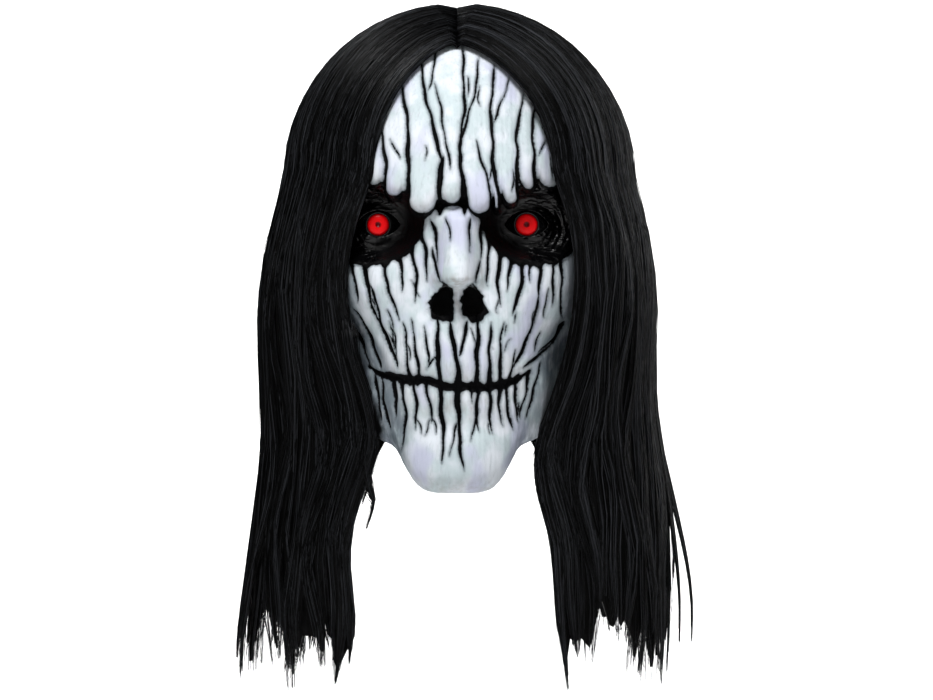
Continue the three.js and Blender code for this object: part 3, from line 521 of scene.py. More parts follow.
# The wide furrows of each zone and their forks, in a layout of the mask's own. Columns: the place across and
# the level of the upper end, the same of the lower end, the sideways bow, and the width at both ends.
FURROWS: dict[Zone, tuple[tuple[float, ...], ...]] = {
    Zone.FOREHEAD: (
        (-50, -74, -50.2, -97, 0.3, 0.9, 2.2), (-42.5, -56, -40.2, -101, 2, 1.2, 2.5),
        (-30.5, -36, -27.6, -106, 2.5, 1.3, 3), (-36, -69, -30.5, -80, 0, 0.8, 1.2),
        (-20.5, -22, -7.6, -82, -1.5, 1.2, 2.3), (-7.4, -78, -9.5, -111, -0.7, 2.4, 4),
        (-11.5, -18, -15.8, -42, 0.8, 1.1, 1.2), (-12, -38, -3.5, -86, 0.6, 1, 1.1),
        (3, -16, 1.4, -78, 1.8, 1.1, 2), (1.6, -75, 4.2, -111, 0.6, 2.3, 3.8),
        (12, -23, 2.2, -70, 1.8, 1, 1.4), (20.5, -27, 24.6, -111, -3.4, 1.2, 2.6),
        (28.5, -34, 20, -60, 1, 0.9, 1.2), (10.5, -70, 19.9, -110, 0.8, 0.9, 1.8),
        (20.5, -82, 16.6, -93, 0.4, 0.8, 1), (36.5, -42, 34.4, -106, -2.6, 1.2, 2.6),
        (42.5, -50, 43.9, -101, -1.2, 1.3, 2.4), (50, -68, 44.2, -78, 0, 0.8, 1.2),
        (51.2, -78, 52.4, -90, 0.5, 0.9, 1.1), (30.5, -86, 29.6, -98, 0.3, 0.8, 1.1),
    ),
    Zone.CHEEK: (
        (-60, -131, -55, -158, 0, 3, 1), (-53, -130, -43, -168, -2, 3.6, 1.3),
        (-47.5, -148, -32, -194, -1, 1.4, 2.2), (-42, -130, -36.5, -150, -0.5, 3.2, 1.1),
        (-38.5, -143, -31, -168, -0.8, 1.6, 1), (-33.5, -127, -29.5, -152, 0.8, 3, 1),
        (-58, -161, -42, -195, 2.5, 1.4, 2.4), (-60, -170, -49, -194, 2, 2, 1.6),
        (-26, -123, -22.5, -158, 1.5, 2.8, 0.9), (-20.5, -117, -16, -147, 1, 2.6, 0.8),
        (-14.5, -113, -10.5, -137, 1.5, 2, 0.9), (-24.5, -146, -20, -155, 0, 0.7, 0.9),
        (-6, -112, -3.5, -125, 1, 1.4, 0.8), (7.5, -112, 7, -131, -0.8, 1.4, 0.8),
        (-37.5, -162, -34, -184, 1, 0.8, 1.1), (13.5, -112, 12.8, -135, 0.5, 2, 0.9),
        (19, -118, 16.5, -149, -1, 2.6, 0.9), (25.5, -124, 23.5, -160, -1.5, 3, 1.1),
        (31.5, -127, 27, -152, 0.5, 2.8, 1), (37.5, -130, 30, -165, 1.5, 3.4, 1.3),
        (47, -130, 44.5, -156, 0, 3, 1.2), (44.5, -154, 30.5, -194, 3, 1.4, 2),
        (54, -128, 52.5, -160, 1, 2.8, 0.9), (60, -124, 59, -167, -1, 2.4, 0.9),
        (61, -168, 44, -186, 2.5, 2.6, 1.3), (57, -176, 36, -194, 2, 1.4, 1.6),
        (41.5, -133, 39.5, -147, 0, 1.2, 0.7), (-12.8, -128, -9.2, -147, -0.8, 1.1, 2.2),
        (-9.4, -146, -4.5, -151.5, 0.2, 1.8, 2), (50, -150, 47.5, -166, 0, 0.8, 1),
        (12.6, -135, 10.2, -148, 0.5, 1.1, 2), (10.4, -147, 5.2, -151.5, 0.2, 1.7, 2),
    ),
    Zone.UPPER_LIP: (
        (-29, -169, -26, -204, 0.5, 0.8, 2.2), (-24.5, -167, -21.5, -204, 1, 0.8, 2),
        (-17.5, -171, -15.5, -192, 0.6, 0.7, 1.4), (-16.3, -195, -11, -186, 0, 1.2, 0.9),
        (-11, -165, -10, -206, 0.5, 1.8, 3.4), (-4, -168, 1, -206, 1, 1.8, 3.8),
        (6, -168, 1, -188, 0.5, 1.8, 2.4), (11, -164, 11, -206, 0.5, 1.6, 3.4),
        (18.5, -169, 18, -206, 0, 1, 3), (25.5, -169, 24, -204, -1, 0.9, 2.4),
        (29, -178, 25.5, -185, 0, 0.7, 0.9), (-35, -172, -33, -190, 0.4, 0.8, 1),
        (31.5, -184, 29.5, -203, 0, 0.8, 2), (7.5, -172, 11, -181, 0, 0.6, 0.8),
    ),
    Zone.LOWER_LIP: (
        (-45.5, -198, -41, -224, -0.5, 2, 1.4), (-41.5, -200, -35.5, -228, -1.5, 2, 1.4),
        (-36.5, -198, -33, -222, 1.2, 3, 1.2), (-31.5, -199, -29.5, -240, 2, 2.4, 1),
        (-25, -200, -22, -228, 1, 2.2, 1), (-22.5, -221, -19, -230, 0.4, 0.9, 0.7),
        (-18, -200, -13.5, -224, 1, 2.4, 1), (-13.6, -221, -17, -231, 0, 0.9, 0.7),
        (-13.5, -221, -11, -230, 0.4, 0.9, 0.7), (-9.5, -202, -8, -246, 1, 3.6, 1),
        (1, -202, 4, -250, -1.5, 3.8, 1), (0.8, -223, -4, -242, -0.6, 1.3, 0.8),
        (13, -201, 12, -229, -1.5, 2.6, 1), (12, -216, 7.5, -234, 0.4, 1.3, 0.8),
        (8.5, -201, 8.3, -213, 0, 1.6, 0.7), (19, -201, 19, -230, -1, 2.6, 0.9),
        (24.5, -200, 24.5, -226, -1, 2.6, 1), (29.5, -199, 30, -228, -2, 2.4, 1.2),
        (34, -197, 33, -224, -1.5, 2, 1.2), (40, -195, 34, -222, 0.5, 2, 1),
        (46, -190, 37, -222, 1.5, 1.4, 1.4),
    ),
}


@dataclass(frozen=True)
class HairlineField:
    """Fine cracks that run along the wide furrows of a zone, in a band of levels and places across."""

    across: Pair
    levels: Pair
    lean: float
    count: int
    length: Pair
    width: Pair = (0.85, 1.15)

    def rows(self, rng: Picker) -> list[Furrow]:
        """Lays the cracks.

        Args:
            rng: what picks their places.

        Returns:
            The cracks.
        """
        out = []
        for _ in range(self.count):
            x = rng.uniform(*self.across)
            z = rng.uniform(*self.levels)
            length = rng.uniform(*self.length)
            width = rng.uniform(*self.width)
            lower = x - self.lean * x / 50 * length
            out.append(Furrow(x, z, lower, z - length, rng.uniform(-0.8, 0.8), width, width * 0.7))
        return out


@dataclass
class FaceSculpt:
    """The furrows, the mouth and the painted edges of the face, as distances and heights over the shell."""

    form: HeadForm
    furrow_depth: float = 1.9
    reach: float = 7.0
    seed: int = 7
    mouth_x: Row = (-50, -41, -30, -18, -8, 6, 17, 27, 34, 41)
    mouth_z: Row = (-193.5, -198, -200, -200.8, -203.4, -204.6, -204.2, -203, -199.5, -196)
    mouth_height: Row = (1.2, 3.8, 4.6, 4.6, 4.4, 4.8, 4.2, 4.8, 3.4, 1.2)
    # The black of the sockets: middle and half width of the left and the right one, level and half height.
    black_middle: Pair = (-47.0, 42.8)
    black_half: Pair = (29.5, 29.0)
    black_level: float = -112.5
    black_rise: float = 25.6
    # The black line under the brow: its lowest level over the root of the nose, and its half length.
    root_level: float = -105.8
    line_half: float = 26.0

    def furrow_lines(self) -> list[tuple[Array, Array, Array]]:
        """The lines of every furrow and crack.

        Returns:
            Places across, levels and half widths along each.
        """
        rng = np.random.default_rng(self.seed)
        rows = [Furrow(*row) for zone in FURROWS.values() for row in zone]
        for fine in (
            HairlineField((-44, 46), (-88, -34), -0.12, 5, (6.0, 13.0)),
            HairlineField((-58, -16), (-184, -150), 0.3, 5, (5.0, 12.0)),
            HairlineField((16, 60), (-184, -150), 0.3, 5, (5.0, 12.0)),
            HairlineField((-28, 28), (-188, -174), 0.05, 2, (5.0, 9.0)),
            HairlineField((-36, 36), (-222, -208), 0.15, 4, (6.0, 12.0)),
        ):
            rows += fine.rows(rng)
        return [row.line(i) for i, row in enumerate(rows)]

    def furrow_field(self, x: Array, z: Array) -> tuple[Array, Array]:
        """Distances to the furrows and the height that they take off the skin.

        Args:
            x: places across, in a flat array.
            z: levels.

        Returns:
            The distance to the nearest furrow's edge, negative inside, and the height, which is 0 or less.
            A wide furrow has wide round shoulders, so that the strips between stand up like roots.
        """
        reach = self.reach
        distance = np.full(x.shape, reach)
        height = np.zeros(x.shape)
        for px, pz, half in self.furrow_lines():
            near = (x > px.min() - reach) & (x < px.max() + reach)
            picked = np.nonzero(near & (z > pz.min() - reach) & (z < pz.max() + reach))[0]
            if not len(picked):
                continue
            ax, az, bx, bz = px[:-1], pz[:-1], px[1:], pz[1:]
            dx, dz = bx - ax, bz - az
            qx, qz = x[picked, None] - ax, z[picked, None] - az
            t = np.clip((qx * dx + qz * dz) / (dx * dx + dz * dz), 0, 1)
            width = half[:-1] + t * (half[1:] - half[:-1])
            gap = np.hypot(qx - t * dx, qz - t * dz) - width
            best = gap.argmin(axis=1)
            rows = np.arange(len(picked))
            gap, width = gap[rows, best], width[rows, best]
            distance[picked] = np.minimum(distance[picked], gap)
            fall, spread = 0.25 + 1.7 * width, 0.9 + 3.2 * width
            away = 1 - np.clip(gap / spread, 0, 1)
            shoulder = fall * (1 - np.sqrt(1 - 0.985 * away * away))
            trough = self.furrow_depth * np.clip(width / 1.3, 0.15, 1) * ease(-gap / np.maximum(width, 0.2))
            height[picked] = np.minimum(height[picked], -shoulder - trough)
        return distance, height

    def mouth_distance(self, x: Array, z: Array) -> Array:
        """The distance to the edge of the mouth slit, negative inside.

        Args:
            x: places across.
            z: levels.

        Returns:
            The distances.
        """
        middle = through(self.mouth_x, self.mouth_z, x) + 0.5 * np.sin(x * 0.31)
        half = through(self.mouth_x, self.mouth_height, x) / 2 * (1 + 0.12 * np.sin(x * 0.8))
        ends = np.maximum(self.mouth_x[0] - x, x - self.mouth_x[-1])
        return np.maximum(np.abs(z - middle) - half, ends)

    def nostril_reach(self, x: Array, z: Array, side: Side, grow: float = 0.0) -> Array:
        """1 on the outline of one nostril, which leans with its top towards the middle, and less inside.

        Args:
            x: places across.
            z: levels.
            side: which nostril.
            grow: how much wider it is taken.

        Returns:
            The reaches.
        """
        form = self.form
        cx, cz = form.nostril_centre(side)
        lean = math.radians(form.nostril_lean) * side.value
        across = (x - cx) * math.cos(lean) + (z - cz) * math.sin(lean)
        up = (z - cz) * math.cos(lean) - (x - cx) * math.sin(lean)
        high = up / (form.nostril_half[1] + grow)
        return np.hypot(across / ((form.nostril_half[0] + grow) * (1 - 0.3 * np.clip(high, -1, 1))), high)

    def nostril_distance(self, x: Array, z: Array, grow: float = 0.0) -> Array:
        """The distance to the edge of the nearer nostril, negative inside."""
        reach = np.minimum(*(self.nostril_reach(x, z, side, grow) for side in Side))
        return (reach - 1) * (self.form.nostril_half[0] + grow)

    def socket_distance(self, x: Array, z: Array) -> Array:
        """The distance to the edge of the black of the nearer socket, negative inside.

        Args:
            x: places across.
            z: levels.

        Returns:
            The distances.
        """
        left = x < self.form.eye_shift
        across = (x - np.where(left, *self.black_middle)) / np.where(left, *self.black_half)
        ragged = 0.8 * np.sin(x * 0.61) + 0.5 * np.sin(x * 1.13 + 1.0)
        ring = np.hypot(across, (z - self.black_level) / (self.black_rise + ragged)) - 1
        mean_radius = 24.0
        return np.maximum(ring * mean_radius, z - self.form.brow_edge(x))

    def brow_line_distance(self, x: Array, z: Array) -> Array:
        """The distance to the edge of the black line under the brow, over the root of the nose.

        Args:
            x: places across.
            z: levels.

        Returns:
            The distances.
        """
        edge = self.form.brow_edge(x)
        thinnest = 1.3 + 0.06 * np.abs(x)
        root = np.minimum(self.root_level - 0.011 * (x - 1) ** 2, edge - thinnest)
        return np.maximum.reduce([z - edge, root - z, np.abs(x) - self.line_half])

    def lid_reach(self, x: Array, z: Array, side: Side) -> Array:
        """1 at the edge of the opening between the lids, less inside.

        Args:
            x: places across.
            z: levels.
            side: which eye.

        Returns:
            The reaches.
        """
        centre = self.form.eye_centre(side)
        half, rise, fall = self.form.lid_half
        across = np.clip(np.abs(x - centre[0]) / half, 0, 1.6)
        up = z - centre[2]
        bow = np.maximum(1 - across**2, 0.0) ** 0.85
        height = np.where(up > 0, rise, fall) * bow
        return np.where(across < 1, np.abs(up) / np.maximum(height, 0.05), 9.0)


@dataclass
class MaskShell:
    """The cast shell: one closed skin with its outer face, its inside, the lids, the nostrils and the rim."""

    form: HeadForm
    front_columns: int = 288
    front_sine: float = 0.905
    side_columns: int = 17
    dome_rows: tuple[int, int] = (10, 68)
    face_rows: int = 176
    dome_split: float = 0.62
    inner_step: int = 3
    eye_gap: float = 0.3
    lift: float = 1.3
    cut: float = 2.3
    face_turn: float = 78.0
    # How deep the dark edges are rolled and cut into the bone, and over which distance.
    mouth_roll: Pair = (1.6, 2.6)
    mouth_cut: Pair = (2.4, 1.8)
    socket_roll: Pair = (0.9, 1.6)
    line_roll: Pair = (1.4, 2.0)
    line_cut: Pair = (1.2, 1.2)
    unevenness: float = 0.1
    bone_edge: float = 1.5
    nostril_ink: float = 0.6
    ink_limit: float = 4.0
    # Painted brownish grey shade: under the chin, in the crease over it, on the septum and beside the nose.
    warm_shade_spots: tuple[Swell, ...] = (
        Swell(0.55, 0, -261, 36, 6),  # under the chin
        Swell(0.4, 2, -217, 30, 6),  # crease over the chin
        Swell(0.9, 0, -158, 4, 9),  # septum
        Swell(0.5, -13, -142, 3, 10),  # both sides of the nose
        Swell(0.5, 13, -142, 3, 10),
    )
    cheek_shade: Swell = Swell(0.85, 52, -184, 11, 13)
    white_widths: tuple[Pair, ...] = (  # level and half width of the white there
        (-264, 33), (-250, 32), (-238, 33), (-228, 35), (-215, 39), (-195, 47), (-165, 59), (-140, 62),
        (-110, 60), (-80, 60),
    )

    def __post_init__(self) -> None:
        """Makes the sculpt that the shell is cut with."""
        self.sculpt = FaceSculpt(self.form)

    def angles(self) -> Array:
        """Degrees round the head of the columns of the mesh, evenly across the face.

        Returns:
            The angles, from the back over the left side and the face to the back.
        """
        x = np.linspace(-self.front_sine, self.front_sine, self.front_columns)
        front = np.degrees(np.arcsin(x))
        end = front[-1]
        right = np.linspace(end, 180, self.side_columns + 1)[1:]
        left = -right[::-1][1:]
        return np.concatenate([left, front, right])

    def levels(self, angle: Array) -> Array:
        """The levels of the rows.

        Args:
            angle: degrees round the head of the columns.

        Returns:
            The levels, one row a level and one column an angle.
        """
        crown = np.linspace(0, self.dome_split, self.dome_rows[0] + 1)[1:]
        forehead = np.linspace(self.dome_split, math.pi / 2, self.dome_rows[1] + 1)[1:]
        turn = np.concatenate([crown, forehead])
        dome = self.form.widest + self.form.dome_height * np.cos(turn)
        share = np.linspace(0, 1, self.face_rows + 1)[1:]
        rim = self.form.rim(angle)
        lower = mix(self.form.widest, rim[None, :], share[:, None])
        return np.vstack([np.repeat(dome[:, None], len(angle), axis=1), lower])

    def outer_grid(self) -> tuple[Array, Marks]:
        """The points of the outer face and the marks that its paint reads.

        Returns:
            The points by row and column, and each mark by its name.
        """
        form, sculpt = self.form, self.sculpt
        angle = self.angles()
        z = self.levels(angle)
        a = np.repeat(angle[None, :], len(z), axis=0)
        points = form.surface(a, z)
        x = points[..., 0]
        face = (np.abs(a) < self.face_turn) & (z < -4)
        distance, carved = np.full(x.shape, sculpt.reach), np.zeros(x.shape)
        distance[face], carved[face] = sculpt.furrow_field(x[face], z[face])
        far = 99.0
        mouth = np.where(face, sculpt.mouth_distance(x, z), far)
        nostril = np.where(face, sculpt.nostril_distance(x, z, self.nostril_ink), far)
        socket = np.where(face, sculpt.socket_distance(x, z), far)
        line = np.where(face, sculpt.brow_line_distance(x, z), far)
        bone = ease(socket / self.bone_edge)
        depth = bone * carved
        depth -= fading(mouth, *self.mouth_roll) + cut_in(mouth, *self.mouth_cut)
        depth -= fading(socket, *self.socket_roll) * bone * (z < form.brow_edge(x) - 2)
        depth -= (fading(line, *self.line_roll) + cut_in(line, *self.line_cut)) * bone
        uneven = np.sin(x * 1.7 + 0.6 * np.sin(z * 0.11)) * np.sin(x * 0.63 + z * 0.02)
        depth += self.unevenness * uneven * bone
        lift = self.lift * bone * ease((58 - np.abs(x)) / 14) * face * ease((form.top - 8 - z) / 16)
        deepest = self.lift + self.cut
        height = lift - deepest * np.tanh(-depth / deepest)
        points = points + self.normals(form.surface(a, z, featured=False)) * height[..., None]
        black = soft_min(soft_min(distance, socket, 2.4), soft_min(mouth, line, 1.0), 2.0)
        ink = -np.minimum(black, self.torn(nostril, x, z))
        out, up, _ = form.socket(x, z)
        under_eye = ease((-up - 5) / 5) * ease((2 - out) / 9)
        gloss = ease(-socket / 2) * mix(0.1, 1.0, ease((out + 19) / 12)) * (1 - 0.85 * under_eye)
        ink = np.clip(ink, -self.ink_limit, self.ink_limit)
        return points, {"ink": ink, "gloss": gloss, **self.washes(x, z, a, mouth)}

    def normals(self, plain: Array) -> Array:
        """Outward directions of a grid of points whose columns run round the head."""
        along = np.roll(plain, -1, axis=1) - np.roll(plain, 1, axis=1)
        return unit(np.cross(np.gradient(plain, axis=0), along))

    def torn(self, nostril: Array, x: Array, z: Array) -> Array:
        """The distance to the black of a nostril, whose edge is torn and hangs lowest at the foot.

        Args:
            nostril: plain distances to it.
            x: places across.
            z: levels.

        Returns:
            The distances.
        """
        middle_x, middle_z = 8, -157
        turn = np.arctan2(z - middle_z, np.abs(x) - middle_x)
        ragged = 0.55 * np.sin(turn * 3 + 2 * np.sign(x)) + 0.4 * np.sin(turn * 7 + 1 + np.sign(x))
        return nostril - 1.2 * ease((-159 - z) / 6) + (ragged + 0.3 * np.sin(turn * 13)) - 0.2

    def washes(self, x: Array, z: Array, a: Array, mouth: Array) -> Marks:
        """Where shade is painted onto the bone white, and where the white stops.

        Args:
            x: places across.
            z: levels.
            a: degrees round the head.
            mouth: distances to the mouth.

        Returns:
            Marks from 0 to 1: painted brownish grey shade at the ends of lobes and teeth, painted bluish grey
            shade in hollows and on the sides that turn away, and unpainted black, which there also stands in
            for shade.
        """
        form, ax = self.form, np.abs(x)
        left = x < 0
        lobe = z - form.brow_edge(x)
        # Painted brownish grey shade under the lower ends of the lobes, by the mouth and under the tip of the
        # nose.
        warm_shade = fading(lobe, 0.75, 4.5) * (lobe > 0) * ease((62 - ax) / 8)
        warm_shade += fading(np.abs(mouth) - 2, 0.5, 7) * ease((46 - ax) / 8)
        nose_tip = float(form.level(form.nose_top)) - form.nose_length
        for spot in (*self.warm_shade_spots, Swell(0.75, 0, nose_tip - 1, 12, 3)):
            warm_shade += spot.at(x, z)
        # Painted bluish grey shade on the sides of the face that turn away, stronger on the left, and under
        # the chin and the cheekbones.
        levels, widths = zip(*self.white_widths)
        # The white ends further in on the left, where the face lies in deeper shade.
        limit = np.interp(z, levels, widths) - 5.5 * left * ease((-172 - z) / 14) * ease((z + 242) / 16)
        strength = np.where(left, 1.0, 0.72)
        cold_shade = ease((ax - limit + 10) / 11) * strength
        cold_shade += 0.16 * ease((-226 - z) / 14)
        cold_shade += self.cheek_shade.at(ax, z) * strength
        # Unpainted black latex where the white stops: at the back, on top, and at the sides of the face,
        # where it also stands in for shade.
        bare_and_shade = ease((ax - limit - 4 - 5 * (x > 0)) / 11) + (np.abs(a) > 80) + ease((z + 13) / 3)
        return {"warm_shade": np.clip(warm_shade, 0, 1), "cold_shade": np.clip(cold_shade, 0, 1), "bare_and_shade": np.clip(bare_and_shade, 0, 1)}

    def inner_grid(self, outer: Array) -> Array:
        """The points of the inside, which follows the lowest relief near each place.

        Args:
            outer: the points of the outer face.

        Returns:
            The points by row and column.
        """
        form = self.form
        angle = self.angles()[:: self.inner_step]
        rows = np.append(np.arange(0, len(outer) - 1, self.inner_step), len(outer) - 1)
        z = self.levels(angle)[rows]
        a = np.repeat(angle[None, :], len(z), axis=0)
        plain = form.surface(a, z, featured=False)
        lowest = np.full(z.shape, 99.0)
        for reach in (0, 3, 6, 9):
            for turn in range(0, 360, 45):
                dx, dz = reach * math.cos(math.radians(turn)), reach * math.sin(math.radians(turn))
                lowest = np.minimum(lowest, form.relief(plain[..., 0] + dx, z + dz, plain[..., 1]))
        across = np.abs(plain[..., 0]) / np.maximum(form.sizes(z)[0], 1)
        fade = np.where(np.abs(a) <= 90, 1 - ease((across - 0.8) / 0.17), 0.0)
        room = form.eye_radius + self.eye_gap
        inner = plain - self.normals(plain) * form.wall
        inner[..., 1] -= lowest * fade
        for side in Side:
            centre = form.eye_centre(side)
            away = np.hypot(inner[..., 0] - centre[0], inner[..., 2] - centre[2])
            pocket = centre[1] - np.sqrt(np.maximum(room**2 - away**2, 0))
            near = (away < room) & (inner[..., 1] < 0)
            inner[..., 1] = np.where(near, np.minimum(inner[..., 1], pocket), inner[..., 1])
        return inner

    def openings(self) -> list[tuple[Array, Reach]]:
        """The middle of each opening of the face and how far out of it places lie, which is 1 at its edge."""
        form, lid, nostril = self.form, self.sculpt.lid_reach, self.sculpt.nostril_reach
        eyes = [(form.eye_centre(side)[[0, 2]], partial(lid, side=side)) for side in Side]
        return eyes + [(np.array(form.nostril_centre(side)), partial(nostril, side=side)) for side in Side]

    def build(self) -> Piece:
        """Makes the closed shell.

        Returns:
            The piece, with the marks that its paint reads and its inside in a second material slot.
        """
        outer, marks = self.outer_grid()
        inner = self.inner_grid(outer)
        skin = GridSkin()
        outside = (skin.add_grid(outer, marks, (0, 0, self.form.top), flip=False, slot=0), outer)
        inside = (skin.add_grid(inner, None, (0, 0, 0), flip=True, slot=1), inner)
        for middle, reach in self.openings():
            skin.open_hole(outside, inside, middle, reach)
        skin.join_rims(outside, inside)
        return skin.finish("mask_skin")


class GridSkin:
    """A closed skin put together from two grids that wrap round, with holes between them."""

    def __init__(self) -> None:
        """Starts with nothing."""
        self.points: list[Array] = []
        self.marks: dict[str, list[Array]] = {name: [] for name in ("ink", "gloss", "warm_shade", "cold_shade", "bare_and_shade")}
        self.cells: dict[int, tuple[Array, Array, bool, int]] = {}
        self.extra: list[tuple[int, ...]] = []
        self.extra_slots: list[int] = []
        self.count = 0

    def add_grid(
        self, grid: Array, marks: Marks | None, pole: tuple[float, ...], flip: bool, slot: int
    ) -> int:
        """Adds a grid whose columns wrap round and whose first row closes at a pole.

        Args:
            grid: the points by row and column.
            marks: the marks of each point, or none.
            pole: the point that closes the top.
            flip: faces look inwards.
            slot: material slot of its faces.

        Returns:
            The number of the grid's first point.
        """
        rows, columns = grid.shape[:2]
        start = self.count
        self.points += [grid.reshape(-1, 3), np.array([pole])]  # a view, so moved edges count
        for name, parts in self.marks.items():
            values = marks[name].ravel() if marks else np.zeros(rows * columns)
            parts += [values, values[:1]]
        number = start + np.arange(rows * columns).reshape(rows, columns)
        a, b = number[:-1], number[1:]
        c, d = np.roll(b, -1, axis=1), np.roll(a, -1, axis=1)
        quads = np.stack([a, b, c, d], axis=-1)
        keep = np.ones(quads.shape[:2], dtype=bool)
        self.cells[start] = (quads, keep, flip, slot)
        for i in range(columns):
            face = (start + rows * columns, start + i, start + (i + 1) % columns)
            self.extra.append(face[::-1] if flip else face)
            self.extra_slots.append(slot)
        self.count += rows * columns + 1
        return start

    def ring_of(self, start: int, inside: Array) -> list[int]:
        """Takes out the cells of a hole.

        Args:
            start: the number of the grid's first point.
            inside: which points lie in the hole.

        Returns:
            The numbers of the points round the hole, in order.
        """
        quads, keep, _, _ = self.cells[start]
        next_inside = np.roll(inside, -1, axis=1)
        votes = inside[:-1].astype(int) + inside[1:] + next_inside[:-1] + next_inside[1:]
        hole = votes >= 3
        keep &= ~hole
        follows: dict[int, int] = {}
        rows, columns = hole.shape
        for i, j in zip(*np.nonzero(hole)):
            a, b, c, d = (int(v) for v in quads[i, j])
            sides = (
                (a, b, hole[i, j - 1]),
                (b, c, hole[i + 1, j] if i + 1 < rows else False),
                (c, d, hole[i, (j + 1) % columns]),
                (d, a, hole[i - 1, j] if i else False),
            )
            for first, second, shared in sides:
                if not shared:
                    follows[first] = second
        ring = [next(iter(follows))]
        while follows[ring[-1]] != ring[0]:
            ring.append(follows[ring[-1]])
            if len(ring) > len(follows):
                break
        return ring

    def open_hole(self, outer: Grid, inner: Grid, middle: Array, reach: Reach) -> None:
        """Opens a hole through both grids, moves its edges onto its outline and joins them.

        Args:
            outer: first point of the outer grid and its points.
            inner: the same of the inner grid.
            middle: the place across and the level of the middle of the hole.
            reach: tells how far out of the hole places lie, which is 1 on its outline.
        """
        rings = []
        for start, grid in (outer, inner):
            ring = self.ring_of(start, (reach(grid[..., 0], grid[..., 2]) < 1) & (grid[..., 1] < 0))
            flat = grid.reshape(-1, 3)
            places = np.array([n - start for n in ring])
            away = flat[places][:, [0, 2]] - middle
            low, high = np.full(len(ring), 0.3), np.full(len(ring), 2.5)
            for _ in range(24):
                half = (low + high) / 2
                inside = reach(middle[0] + away[:, 0] * half, middle[1] + away[:, 1] * half) < 1
                low, high = np.where(inside, half, low), np.where(inside, high, half)
            flat[places, 0] = middle[0] + away[:, 0] * low
            flat[places, 2] = middle[1] + away[:, 1] * low
            rings.append(ring)
        self.zip_rings(rings, (outer, inner), hole=True)

    def zip_rings(self, rings: Sequence[list[int]], grids: Sequence[Grid], hole: bool) -> None:
        """Joins two rings of points that run the same way round with triangles.

        Args:
            rings: the numbers of the points of both rings.
            grids: first point of the grid of each ring and its points.
            hole: the rings go round a hole of the face, or else round the neck.
        """
        axes = (0, 2) if hole else (0, 1)
        places = []
        for ring, (first, grid) in zip(rings, grids):
            places.append(grid.reshape(-1, 3)[np.array(ring) - first][:, axes])
        middle = places[0].mean(axis=0)
        closed, turns = [], []
        for ring, place in zip(rings, places):
            turn = np.arctan2(*(place - middle).T[::-1])
            order = np.append(np.argsort(turn), np.argmin(turn))
            closed.append([ring[i] for i in order])
            turns.append(np.append(turn[order[:-1]], turn[order[-1]] + 2 * math.pi))
        (a, b), (turn_a, turn_b) = closed, turns
        i = j = 0
        while i < len(a) - 1 or j < len(b) - 1:
            step_a = j == len(b) - 1 or (i < len(a) - 1 and turn_a[i + 1] <= turn_b[j + 1])
            face = (a[i], a[i + 1], b[j]) if step_a else (a[i], b[j + 1], b[j])
            self.extra.append(face if hole else face[::-1])
            self.extra_slots.append(0)
            i, j = (i + 1, j) if step_a else (i, j + 1)

    def join_rims(self, outer: Grid, inner: Grid) -> None:
        """Joins the last rows of both grids along the rim.

        Args:
            outer: first point of the outer grid and its points.
            inner: the same of the inner grid.
        """
        rings = []
        for first, grid in (outer, inner):
            rows, columns = grid.shape[:2]
            rings.append([first + (rows - 1) * columns + i for i in range(columns)])
        self.zip_rings(rings, (outer, inner), hole=False)

    def finish(self, name: str) -> Piece:
        """Makes the object.

        Args:
            name: the piece's name.

        Returns:
            The piece.
        """
        faces: list[tuple[int, ...]] = []
        slots: list[int] = []
        for quads, keep, flip, slot in self.cells.values():
            kept = quads[keep]
            kept = kept[:, ::-1] if flip else kept
            faces += [tuple(row) for row in kept.tolist()]
            slots += [slot] * len(kept)
        faces += self.extra
        slots += self.extra_slots
        points = np.vstack(self.points)
        used = np.zeros(len(points), dtype=bool)
        used[[n for face in faces for n in face]] = True
        renumber = np.cumsum(used) - 1
        faces = [tuple(int(renumber[n]) for n in face) for face in faces]
        marks = {mark: np.concatenate(parts)[used] for mark, parts in self.marks.items()}
        obj = make_mesh(name, points[used], faces, marks)
        obj.data.polygons.foreach_set("material_index", np.array(slots, dtype=np.int32))
        return obj


# Materials.


